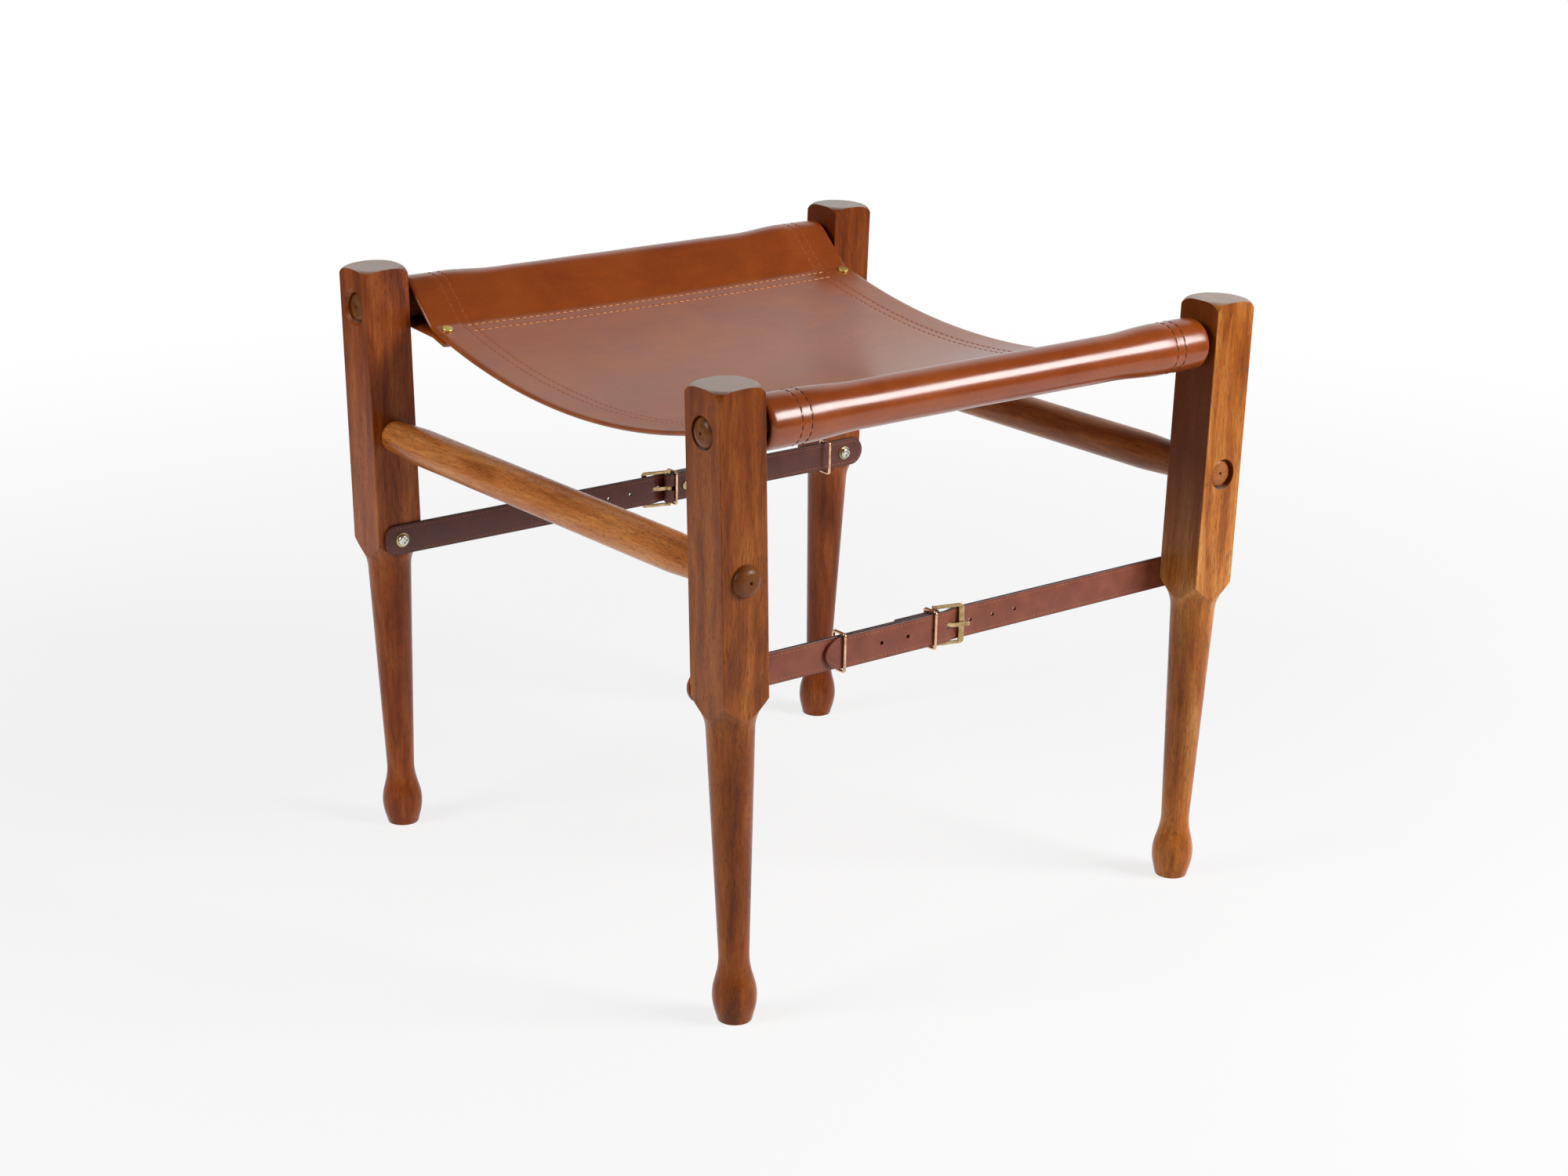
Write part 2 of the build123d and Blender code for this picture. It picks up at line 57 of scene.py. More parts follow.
# %% Colour and node helpers
def tint(code):
    """Linear colour of an sRGB hex code."""
    parts = [int(code[k:k + 2], 16) / 255 for k in (1, 3, 5)]
    line = [p / 12.92 if p <= 0.04045 else ((p + 0.055) / 1.055) ** 2.4 for p in parts]
    return (*line, 1.0)


def add_node(tree, kind, inputs=None, stops=None, **settings):
    """Adds a node, with its settings, fixed inputs, links and colour stops."""
    node = tree.nodes.new(kind)
    for name, value in settings.items():
        setattr(node, name, value)
    for socket, value in (inputs or {}).items():
        if isinstance(value, bpy.types.NodeSocket):
            tree.links.new(value, node.inputs[socket])
        else:
            node.inputs[socket].default_value = value
    if stops:
        ramp = node.color_ramp.elements
        while len(ramp) < len(stops):
            ramp.new(1.0)
        for element, (place, colour) in zip(ramp, stops):
            element.position = place
            element.color = colour
    return node


def new_finish(name):
    """An empty material and its node tree."""
    material = bpy.data.materials.new(name)
    material.use_nodes = True
    material.node_tree.nodes.clear()
    return material, material.node_tree


def grey(level):
    """A plain value as a colour stop."""
    return (level, level, level, 1.0)


print("helpers ready")

# %% [markdown]
# ## The camera
# The stool was photographed from its front left corner, from a little above
# the seat, with a longish lens, so that its verticals stay nearly parallel.
# The place and the turn were found by matching the ends of the rails, the leg
# corners and the feet, and the small roll is the real one.

# %% Camera
camera_place = Vector((-1.3368, -1.6879, 0.9162))
camera_heading = -38.3624
camera_dip = 18.0685
camera_roll = 0.9314
camera_data = bpy.data.cameras.new("camera")
camera_data.lens = 67.83
camera_data.sensor_width = 36.0
camera_data.sensor_fit = "HORIZONTAL"
camera_data.dof.use_dof = False
camera = bpy.data.objects.new("camera", camera_data)
bpy.context.scene.collection.objects.link(camera)
camera.matrix_world = (
    Matrix.Translation(camera_place)
    @ Matrix.Rotation(math.radians(camera_heading), 4, "Z")
    @ Matrix.Rotation(math.radians(90 - camera_dip), 4, "X")
    @ Matrix.Rotation(math.radians(camera_roll), 4, "Z")
)
bpy.context.scene.camera = camera
bpy.context.scene.view_settings.view_transform = "Standard"
print("camera at", tuple(camera_place), "lens", camera_data.lens)

# %% [markdown]
# ## Light, floor and backdrop
# A product studio: a strip of white paper runs under the stool, along the
# camera's view, and up the wall behind it. A softbox at the right front throws
# the long soft shadows to the left and shows as the white band on the roll of
# the sling. A weaker one lights the outer sides of the left legs. The rest of
# the room is dim, and polished leather and wood mirror it: white where the
# paper is, dark beside it and overhead.

# %% Surroundings
paper_half, paper_edge = 1.36, 0.16
view_way, side_way = (0.616, 0.788, 0.0), (0.788, -0.616, 0.0)


def paper_places(tree, place):
    """How far a place lies along the paper, and how far from its middle line."""
    along = add_node(tree, "ShaderNodeVectorMath", {0: place, 1: view_way}, operation="DOT_PRODUCT")
    across = add_node(tree, "ShaderNodeVectorMath", {
        0: place, 1: side_way}, operation="DOT_PRODUCT")
    across = add_node(tree, "ShaderNodeMath", {0: across.outputs["Value"]}, operation="ABSOLUTE")
    return along.outputs["Value"], across.outputs[0]


def mirror_rays(tree):
    """Ray kinds: 1 for the camera's own rays, and 1 for mirrored or refracted ones."""
    ray = add_node(tree, "ShaderNodeLightPath").outputs
    bounced = add_node(tree, "ShaderNodeMath", {
        0: ray["Is Glossy Ray"], 1: ray["Is Transmission Ray"]}, operation="MAXIMUM").outputs[0]
    return ray["Is Camera Ray"], bounced


fill_level, room_level = 0.14, 0.14
# The wall fades out between these two slants to the side, and these two heights
wall_near, wall_side = 0.62, 0.78
wall_low, wall_high = 0.59, 0.77
least_along = 0.01
world = bpy.data.worlds.new("white studio")
bpy.context.scene.world = world
world.use_nodes = True
tree = world.node_tree
tree.nodes.clear()
seen, bounced = mirror_rays(tree)
way = add_node(tree, "ShaderNodeTexCoord").outputs["Generated"]
along, across = paper_places(tree, way)
behind = add_node(tree, "ShaderNodeMath", {
    0: along, 1: least_along}, operation="GREATER_THAN").outputs[0]
slant = add_node(tree, "ShaderNodeMath", {0: across, 1: along}, operation="DIVIDE").outputs[0]
wide = add_node(tree, "ShaderNodeMapRange", {
    "Value": slant, "From Min": wall_near, "From Max": wall_side, "To Min": 1.0, "To Max": 0.0,
}, interpolation_type="SMOOTHSTEP").outputs[0]
climb = add_node(tree, "ShaderNodeSeparateXYZ", {0: way}).outputs["Z"]
high = add_node(tree, "ShaderNodeMapRange", {
    "Value": climb, "From Min": wall_low, "From Max": wall_high, "To Min": 1.0, "To Max": 0.0,
}, interpolation_type="SMOOTHSTEP").outputs[0]
wall = add_node(tree, "ShaderNodeMath", {0: wide, 1: high}, operation="MULTIPLY").outputs[0]
wall = add_node(tree, "ShaderNodeMath", {0: wall, 1: behind}, operation="MULTIPLY").outputs[0]
mirrored = add_node(tree, "ShaderNodeMix", {0: wall, 2: room_level, 3: 1.0}).outputs[0]
level = add_node(tree, "ShaderNodeMix", {0: bounced, 2: fill_level, 3: mirrored}).outputs[0]
level = add_node(tree, "ShaderNodeMix", {0: seen, 2: level, 3: 1.0}).outputs[0]
sky = add_node(tree, "ShaderNodeBackground", {"Color": grey(1.0), "Strength": level})
add_node(tree, "ShaderNodeOutputWorld", {"Surface": sky.outputs[0]})
print("fill", fill_level, "room in reflections", room_level)

# %% Softboxes
lamp_aim = Vector((0, 0, 0.3))


def softbox(name, compass, height, distance, width, tall, power):
    """Rectangular lamp round the stool: a compass turn from +X and a height in degrees."""
    turn, rise = math.radians(compass), math.radians(height)
    lamp = bpy.data.lights.new(name, "AREA")
    lamp.shape = "RECTANGLE"
    lamp.size, lamp.size_y, lamp.energy = width, tall, power
    stand = bpy.data.objects.new(name, lamp)
    bpy.context.scene.collection.objects.link(stand)
    level = math.cos(rise)
    way = Vector((math.cos(turn) * level, math.sin(turn) * level, math.sin(rise)))
    stand.matrix_world = Matrix.Translation(way * distance + lamp_aim) @ (
        way.to_track_quat("Z", "Y").to_matrix().to_4x4())
    print(name, power, "W at", compass, "and", height, "degrees")


softbox("key softbox", -54.0, 25.2, 2.4, 1.1, 0.88, 54.0)
softbox("side softbox", 172.0, 28.0, 2.8, 1.2, 1.2, 36.0)

# %% [markdown]
# The floor takes the soft shadows of the feet, but to the camera most of its
# brightness is its own, which grows to pure white away from the stool, so that
# no horizon shows. In reflections the paper is white as far as it is laid, and
# the bare floor beside it is dark: that keeps the upper part of the front legs
# rich in colour, and makes the lower part pale.

# %% Floor
near_reach, far_reach, near_share = 0.4, 2.0, 0.77
bare_floor = 0.12
floor_finish, tree = new_finish("white paper floor")
seen, bounced = mirror_rays(tree)
place = add_node(tree, "ShaderNodeTexCoord").outputs["Object"]
away = add_node(tree, "ShaderNodeVectorMath", {0: place}, operation="LENGTH")
shown = add_node(tree, "ShaderNodeMapRange", {
    "Value": away.outputs["Value"], "From Min": near_reach, "From Max": far_reach,
    "To Min": near_share, "To Max": 1.0}, interpolation_type="SMOOTHSTEP").outputs[0]
across = paper_places(tree, place)[1]
laid = add_node(tree, "ShaderNodeMapRange", {
    "Value": across, "From Min": paper_half, "From Max": paper_half + paper_edge,
    "To Min": 1.0, "To Max": bare_floor}, interpolation_type="SMOOTHSTEP").outputs[0]
either = add_node(tree, "ShaderNodeMath", {0: bounced, 1: seen}, operation="MAXIMUM").outputs[0]
share = add_node(tree, "ShaderNodeMix", {0: bounced, 2: shown, 3: 1.0}).outputs[0]
share = add_node(tree, "ShaderNodeMath", {0: share, 1: either}, operation="MULTIPLY").outputs[0]
own = add_node(tree, "ShaderNodeMix", {0: bounced, 2: 1.0, 3: laid}).outputs[0]
paper = add_node(tree, "ShaderNodeBsdfDiffuse", {"Color": tint("#f4f4f4")})
glow = add_node(tree, "ShaderNodeEmission", {"Color": grey(1.0), "Strength": own})
both = add_node(tree, "ShaderNodeMixShader", {
    0: share, 1: paper.outputs[0], 2: glow.outputs[0]})
add_node(tree, "ShaderNodeOutputMaterial", {"Surface": both.outputs[0]})

floor_mesh = bpy.data.meshes.new("floor")
reach = 6.0
corners = [(-reach, -reach, 0), (reach, -reach, 0), (reach, reach, 0), (-reach, reach, 0)]
floor_mesh.from_pydata(corners, [], [(0, 1, 2, 3)])
floor_mesh.materials.append(floor_finish)
floor = bpy.data.objects.new("floor", floor_mesh)
bpy.context.scene.collection.objects.link(floor)
print("floor", 2 * reach, "m square")

# %% [markdown]
# ## Oiled hardwood
# The legs, rails and stretchers are a coarse red-brown hardwood, planed or
# turned, stained, oiled and waxed. Three things make it look like wood: broad
# bands of colour along the grain, fine growth lines, and short dark pores that
# are cut open at the surface. All three are solid patterns in the wood, much
# longer along the grain than across it, so they meet at the corners of a leg
# as they do in a real piece. Wax leaves a satin gloss, so the roughness is
# middling, and a pore is a fine groove that breaks the gloss. Light and shade
# are also painted into the colour of the legs: a pale painted sheen low on
# their square parts, painted shade high on their inner sides, and a painted
# grey reflection on their sawn tops. The proud ends of the tenons carry painted
# shade as well.

# %% Hardwood
wood_ior, wood_shine = 1.5, 0.2
band_width, band_length = 12.0, 80.0
line_width, line_length = 1.5, 26.0
pore_width, pore_length = 0.5, 5.0
pore_colour, painted_inner_shade = "#2c1509", "#642805"
painted_top_sheen, painted_end_shade = "#a3968a", "#552a10"
inner_shade_low, inner_shade_high = 0.22, 0.34
end_shade_start, end_shade_full = 0.232, 0.24
inner_shade_strength, top_sheen_strength = 0.85, 0.65
# Factors for a leg's colour at shares of its height, from its foot to its top:
# painted light and sheen, palest and greyest low on the square part
leg_height = 0.4536
leg_light_by_height = [
    (0.12, grey(1.12)), (0.2, grey(0.96)), (0.42, grey(0.96)), (0.52, (1.3, 1.5, 1.75, 1.0)),
    (0.66, (1.18, 1.3, 1.42, 1.0)), (0.9, (1.0, 0.95, 0.8, 1.0)),
]


def grain_scale(grain, width, length):
    """Scale that makes a pattern's features this wide and long, in mm."""
    scale = [1000 / width] * 3
    scale[grain] = 1000 / length
    return tuple(scale)


def hardwood(name, grain, shift, dark, middle, light, inner=0, ends=0.0):
    """Oiled hardwood whose grain runs along axis 0, 1 or 2, cut from its own board.

    Inner is for the legs alone: 1 or -1, as the side that faces +X or -X is the
    inner one, on whose upper part shade is painted. It also turns on the light
    and sheen painted by height and the grey reflection painted on the top. Ends
    is the strength of the shade painted on the proud ends of the tenons.
    """
    material, tree = new_finish(name)
    place = add_node(tree, "ShaderNodeTexCoord").outputs["Object"]
    board = add_node(tree, "ShaderNodeVectorMath", {0: place, 1: shift}, operation="ADD").outputs[0]
    bands = add_node(tree, "ShaderNodeMapping", {
        "Vector": board, "Scale": grain_scale(grain, band_width, band_length)})
    bands = add_node(tree, "ShaderNodeTexNoise", {
        "Vector": bands.outputs[0], "Scale": 1.0, "Detail": 3.0, "Roughness": 0.55,
        "Distortion": 0.4})
    colour = add_node(tree, "ShaderNodeValToRGB", {"Fac": bands.outputs["Fac"]}, stops=[
        (0.3, tint(dark)), (0.5, tint(middle)), (0.72, tint(light))])
    lines = add_node(tree, "ShaderNodeMapping", {
        "Vector": board, "Scale": grain_scale(grain, line_width, line_length)})
    lines = add_node(tree, "ShaderNodeTexNoise", {
        "Vector": lines.outputs[0], "Scale": 1.0, "Detail": 2.0, "Roughness": 0.6})
    lines = add_node(tree, "ShaderNodeMapRange", {
        "Value": lines.outputs["Fac"], "From Min": 0.3, "From Max": 0.7,
        "To Min": 0.78, "To Max": 1.16})
    lined = add_node(tree, "ShaderNodeVectorMath", {
        0: colour.outputs[0], "Scale": lines.outputs[0]}, operation="SCALE")
    pores = add_node(tree, "ShaderNodeMapping", {
        "Vector": board, "Scale": grain_scale(grain, pore_width, pore_length)})
    pores = add_node(tree, "ShaderNodeTexNoise", {
        "Vector": pores.outputs[0], "Scale": 1.0, "Detail": 1.0, "Roughness": 0.5})
    pores = add_node(tree, "ShaderNodeMapRange", {
        "Value": pores.outputs["Fac"], "From Min": 0.56, "From Max": 0.68,
        "To Min": 0.0, "To Max": 0.55})
    pored = add_node(tree, "ShaderNodeMix", {
        "Factor": pores.outputs[0], 6: lined.outputs[0], 7: tint(pore_colour),
    }, data_type="RGBA").outputs[2]
    if inner:
        turned = add_node(tree, "ShaderNodeTexCoord").outputs["Normal"]
        height = add_node(tree, "ShaderNodeSeparateXYZ", {0: place}).outputs["Z"]
        # Painted shade: the upper part of a leg's inner side is darkened
        inner_shade_mask = add_node(tree, "ShaderNodeVectorMath", {
            0: turned, 1: (inner, 0.0, 0.0)}, operation="DOT_PRODUCT").outputs["Value"]
        inner_shade_mask = add_node(tree, "ShaderNodeMapRange", {
            "Value": inner_shade_mask, "From Min": 0.3, "From Max": 0.9,
            "To Min": 0.0, "To Max": inner_shade_strength}).outputs[0]
        upper = add_node(tree, "ShaderNodeMapRange", {
            "Value": height, "From Min": inner_shade_low, "From Max": inner_shade_high}).outputs[0]
        inner_shade_mask = add_node(tree, "ShaderNodeMath", {
            0: inner_shade_mask, 1: upper}, operation="MULTIPLY").outputs[0]
        # Painted light and sheen by height: paler and greyer low on the square part
        level = add_node(tree, "ShaderNodeMapRange", {
            "Value": height, "From Min": 0.0, "From Max": leg_height}).outputs[0]
        aged = add_node(tree, "ShaderNodeValToRGB", {"Fac": level}, stops=leg_light_by_height).outputs[0]
        pored = add_node(tree, "ShaderNodeVectorMath", {
            0: pored, 1: aged}, operation="MULTIPLY").outputs[0]
        pored = add_node(tree, "ShaderNodeMix", {
            "Factor": inner_shade_mask, 6: pored, 7: tint(painted_inner_shade)}, data_type="RGBA").outputs[2]
        # Painted reflection: faces that point upwards, the leg tops, are greyed
        upright = add_node(tree, "ShaderNodeSeparateXYZ", {0: turned}).outputs["Z"]
        top_sheen_mask = add_node(tree, "ShaderNodeMapRange", {
            "Value": upright, "From Min": 0.8, "From Max": 0.98,
            "To Min": 0.0, "To Max": top_sheen_strength}).outputs[0]
        pored = add_node(tree, "ShaderNodeMix", {
            "Factor": top_sheen_mask, 6: pored, 7: tint(painted_top_sheen)}, data_type="RGBA").outputs[2]
    # Painted shade on the proud ends of the tenons
    if ends:
        far = add_node(tree, "ShaderNodeSeparateXYZ", {0: place}).outputs[grain]
        far = add_node(tree, "ShaderNodeMath", {0: far}, operation="ABSOLUTE").outputs[0]
        far = add_node(tree, "ShaderNodeMapRange", {
            "Value": far, "From Min": end_shade_start, "From Max": end_shade_full,
            "To Min": 0.0, "To Max": ends}).outputs[0]
        pored = add_node(tree, "ShaderNodeMix", {
            "Factor": far, 6: pored, 7: tint(painted_end_shade)}, data_type="RGBA").outputs[2]
    gloss = add_node(tree, "ShaderNodeMapRange", {
        "Value": pores.outputs[0], "From Min": 0.0, "From Max": 0.6, "To Min": 0.26, "To Max": 0.45})
    relief = add_node(tree, "ShaderNodeMath", {0: 1.0, 1: pores.outputs[0]}, operation="SUBTRACT")
    relief = add_node(tree, "ShaderNodeBump", {
        "Strength": 0.35, "Distance": 0.0002, "Height": relief.outputs[0]})
    surface = add_node(tree, "ShaderNodeBsdfPrincipled", {
        "Base Color": pored, "Roughness": gloss.outputs[0], "IOR": wood_ior,
        "Specular IOR Level": wood_shine, "Normal": relief.outputs[0]})
    add_node(tree, "ShaderNodeOutputMaterial", {"Surface": surface.outputs[0]})
    return material


# Each piece is cut from its own board, so each has its own shift and its own tone
# After the tones come a leg's inner side and the strength of the painted shade on a stretcher's
# tenon ends
wood_pieces = {
    "leg_front_left": (2, (0.31, 0.12, 0.4), "#622b0a", "#834010", "#98531c", 1),
    "leg_front_right": (2, (0.74, 0.53, 0.9), "#864416", "#a96024", "#bd8043", -1),
    "leg_back_left": (2, (1.27, 0.86, 0.2), "#6a2c0c", "#8a4013", "#a25825", 1),
    "leg_back_right": (2, (1.63, 1.31, 0.6), "#60290b", "#7e3a10", "#944d20", -1),
    "seat_rail_front": (0, (0.2, 1.9, 0.3), "#4e2810", "#6c3c18", "#7f4c22"),
    "seat_rail_back": (0, (0.5, 2.3, 0.8), "#4e2810", "#6c3c18", "#7f4c22"),
    "side_stretcher_left": (1, (2.1, 0.4, 0.7), "#9c5320", "#c07236", "#d08a4c", 0, 0.8),
    "side_stretcher_right": (1, (2.6, 0.9, 1.2), "#7c4018", "#9f5b28", "#b87440", 0, 0.35),
}
for piece, board in wood_pieces.items():
    finish = hardwood("oiled hardwood " + piece, *board)
    nodes[piece].data.materials.clear()
    nodes[piece].data.materials.append(finish)
print("hardwood on", len(wood_pieces), "pieces")

# %% [markdown]
# ## Brass and zinc-plated steel
# Buckles, keepers, washers and rivets are brass that has dulled a little with
# handling: full metal, a yellow that leans to brown, and a soft, uneven gloss.
# The screws are zinc-plated steel, pale and slightly warm.

# %% Metals
handling_patch = 6.0
polish_line = 0.35


def cast_metal(name, bright, dull, smooth, rough):
    """Handled metal: its colour and gloss drift in patches, under fine polish lines."""
    material, tree = new_finish(name)
    place = add_node(tree, "ShaderNodeTexCoord").outputs["Object"]
    patches = add_node(tree, "ShaderNodeTexNoise", {
        "Vector": place, "Scale": 1000 / handling_patch, "Detail": 3.0, "Roughness": 0.6})
    colour = add_node(tree, "ShaderNodeValToRGB", {"Fac": patches.outputs["Fac"]}, stops=[
        (0.35, tint(dull)), (0.6, tint(bright))])
    gloss = add_node(tree, "ShaderNodeMapRange", {
        "Value": patches.outputs["Fac"], "From Min": 0.35, "From Max": 0.6,
        "To Min": rough, "To Max": smooth})
    lines = add_node(tree, "ShaderNodeTexNoise", {
        "Vector": place, "Scale": 1000 / polish_line, "Detail": 1.0})
    relief = add_node(tree, "ShaderNodeBump", {
        "Strength": 0.12, "Distance": 0.00005, "Height": lines.outputs["Fac"]})
    surface = add_node(tree, "ShaderNodeBsdfPrincipled", {
        "Base Color": colour.outputs[0], "Metallic": 1.0, "Roughness": gloss.outputs[0],
        "Normal": relief.outputs[0]})
    add_node(tree, "ShaderNodeOutputMaterial", {"Surface": surface.outputs[0]})
    return material


buckle_brass = cast_metal("aged brass buckle", "#cdb184", "#a88757", 0.22, 0.38)
wire_brass = cast_metal("pale brass wire", "#f0c8a4", "#d4a480", 0.2, 0.32)
rivet_brass = cast_metal("bright brass rivet", "#f6e08c", "#e6c566", 0.42, 0.52)
washer_brass = cast_metal("yellow-plated washer", "#c9b98a", "#a39566", 0.25, 0.4)
screw_zinc = cast_metal("zinc-plated steel", "#dcdad2", "#bdbbb2", 0.22, 0.36)
metal_pieces = {
    "seat_rivets": rivet_brass,
    "front_buckle_frame": buckle_brass, "back_buckle_frame": buckle_brass,
    "front_buckle_prong": buckle_brass, "back_buckle_prong": buckle_brass,
    "front_fold_rivet": washer_brass, "back_fold_rivet": washer_brass,
    "front_keeper_near": wire_brass, "front_keeper_far": wire_brass,
    "back_keeper_near": wire_brass, "back_keeper_far": wire_brass,
    "strap_screws": screw_zinc, "strap_washers": washer_brass,
}
for piece, finish in metal_pieces.items():
    nodes[piece].data.materials.clear()
    nodes[piece].data.materials.append(finish)
print("metal on", len(metal_pieces), "pieces")

# %% [markdown]
# ## Saddle leather
# The sling is thick vegetable-tanned hide, dyed tan and waxed to a shine. Dye
# never takes evenly, so the colour drifts in broad clouds, with pulls drawn out
# along the rails and a fine mottle. It is smoothest where it is strained over
# the rails, and the flat of the seat is paler, duller on the left and rubbed
# smoother on the right. The hide's own grain is a pebble that only just shows.

# %% Saddle leather
cloud_size, pull_size, mottle_size, pebble_size = 70.0, 12.0, 3.0, 0.9
pull_share = 0.35
strain_start, strain_full = 0.14, 0.19
rubbed_left, rubbed_right = -0.12, 0.15
left_roughness, right_roughness, roll_roughness = 0.37, 0.25, 0.22
hide_ior = 1.55


def saddle_leather(name):
    """Waxed tan hide, smoother over the rails than on the flat seat."""
    material, tree = new_finish(name)
    place = add_node(tree, "ShaderNodeTexCoord").outputs["Object"]
    axes = add_node(tree, "ShaderNodeSeparateXYZ", {0: place})
    across = add_node(tree, "ShaderNodeMath", {0: axes.outputs["Y"]}, operation="ABSOLUTE")
    strained = add_node(tree, "ShaderNodeMapRange", {
        "Value": across.outputs[0], "From Min": strain_start, "From Max": strain_full,
    }, interpolation_type="SMOOTHSTEP")
    clouds = add_node(tree, "ShaderNodeTexNoise", {
        "Vector": place, "Scale": 1000 / cloud_size, "Detail": 4.0, "Roughness": 0.55,
        "Distortion": 0.6})
    seat = add_node(tree, "ShaderNodeValToRGB", {"Fac": clouds.outputs["Fac"]}, stops=[
        (0.3, tint("#8d4011")), (0.5, tint("#9a4a15")), (0.7, tint("#a3561e"))])
    roll = add_node(tree, "ShaderNodeValToRGB", {"Fac": clouds.outputs["Fac"]}, stops=[
        (0.3, tint("#843808")), (0.5, tint("#8f3f0a")), (0.7, tint("#99480e"))])
    colour = add_node(tree, "ShaderNodeMix", {
        "Factor": strained.outputs[0], 6: seat.outputs[0], 7: roll.outputs[0],
    }, data_type="RGBA")
    pulls = add_node(tree, "ShaderNodeMapping", {"Vector": place, "Scale": (pull_share, 1.0, 1.0)})
    pulls = add_node(tree, "ShaderNodeTexNoise", {
        "Vector": pulls.outputs[0], "Scale": 1000 / pull_size, "Detail": 4.0, "Roughness": 0.65})
    pulled = add_node(tree, "ShaderNodeMapRange", {
        "Value": pulls.outputs["Fac"], "From Min": 0.3, "From Max": 0.75,
        "To Min": 0.9, "To Max": 1.08})
    colour = add_node(tree, "ShaderNodeVectorMath", {
        0: colour.outputs[2], "Scale": pulled.outputs[0]}, operation="SCALE")
    mottle = add_node(tree, "ShaderNodeTexNoise", {
        "Vector": place, "Scale": 1000 / mottle_size, "Detail": 3.0, "Roughness": 0.7})
    mottled = add_node(tree, "ShaderNodeMapRange", {
        "Value": mottle.outputs["Fac"], "From Min": 0.3, "From Max": 0.7,
        "To Min": 0.93, "To Max": 1.05})
    colour = add_node(tree, "ShaderNodeVectorMath", {
        0: colour.outputs[0], "Scale": mottled.outputs[0]}, operation="SCALE")
    drift = add_node(tree, "ShaderNodeMapRange", {
        "Value": clouds.outputs["Fac"], "From Min": 0.3, "From Max": 0.7,
        "To Min": -0.03, "To Max": 0.03})
    rubbed = add_node(tree, "ShaderNodeMapRange", {
        "Value": axes.outputs["X"], "From Min": rubbed_left, "From Max": rubbed_right,
        "To Min": left_roughness, "To Max": right_roughness})
    rubbed = add_node(tree, "ShaderNodeMix", {
        0: strained.outputs[0], 2: rubbed.outputs[0], 3: roll_roughness})
    gloss = add_node(tree, "ShaderNodeMath", {
        0: rubbed.outputs[0], 1: drift.outputs[0]}, operation="ADD")
    pebble = add_node(tree, "ShaderNodeTexNoise", {
        "Vector": place, "Scale": 1000 / pebble_size, "Detail": 2.0, "Roughness": 0.6})
    relief = add_node(tree, "ShaderNodeBump", {
        "Strength": 0.2, "Distance": 0.0001, "Height": pebble.outputs["Fac"]})
    surface = add_node(tree, "ShaderNodeBsdfPrincipled", {
        "Base Color": colour.outputs[0], "Roughness": gloss.outputs[0], "IOR": hide_ior,
        "Normal": relief.outputs[0]})
    add_node(tree, "ShaderNodeOutputMaterial", {"Surface": surface.outputs[0]})
    return material


sling_hide = saddle_leather("waxed saddle leather")
print("saddle leather ready")

# %% [markdown]
# ## The sling's section
# The sling is one strip of hide. Seen from the side it runs, from the middle of
# the seat outwards, along a shallow arc, bends up at the knee, goes over the
# rail and back under it to the seam, and ends in a short flap. Each half is
# worked out here as two rows of points, the grain side and the flesh side, for
# any place along the rails and any thickness, because the hems are double.

# %% Sizes of the sling, in mm
MM = 0.001
leather = 2.4
half_seat = 201.0
rail_height = 422.6
half_depth = 219.8
rail_wrap = 14.2
seat_drop, seat_droop = 37.4, 4.0
knee, knee_drop, knee_droop = 176.0, 12.4, 2.5
knee_bend = 12.0
flap_length, flap_gap = 13.6, 0.2
hem_rows = (168.0, 176.0)
seam_rows = (165.0, 174.0)
seam_end = 173.5
hem_inner, single_end = 164.0, 116.0
fold_round = 4.4
flap_points = 10


def below(centre, radius, slope):
    """Point under a centre where a circle round it has this slope."""
    return np.array([centre[0] + radius * math.sin(slope), centre[1] - radius * math.cos(slope)])


def tangent_slope(start, end, start_radius, end_radius):
    """Slope of the line under the start circle and over the end circle."""
    run, rise = end - start
    return math.atan2(rise, run) + math.asin((start_radius + end_radius) / math.hypot(run, rise))


def straight(start, end, count):
    """Points from one end towards the other, without the two ends."""
    return [start + (end - start) * k / (count + 1) for k in range(1, count + 1)]


# %% One half of the section
# Places across the seat, closest beside the knee, where the seam rows are
seat_places = np.concatenate([
    np.linspace(0, 156, 27), np.arange(158, 162, 1.0), np.arange(162, 175.9, 0.6),
])


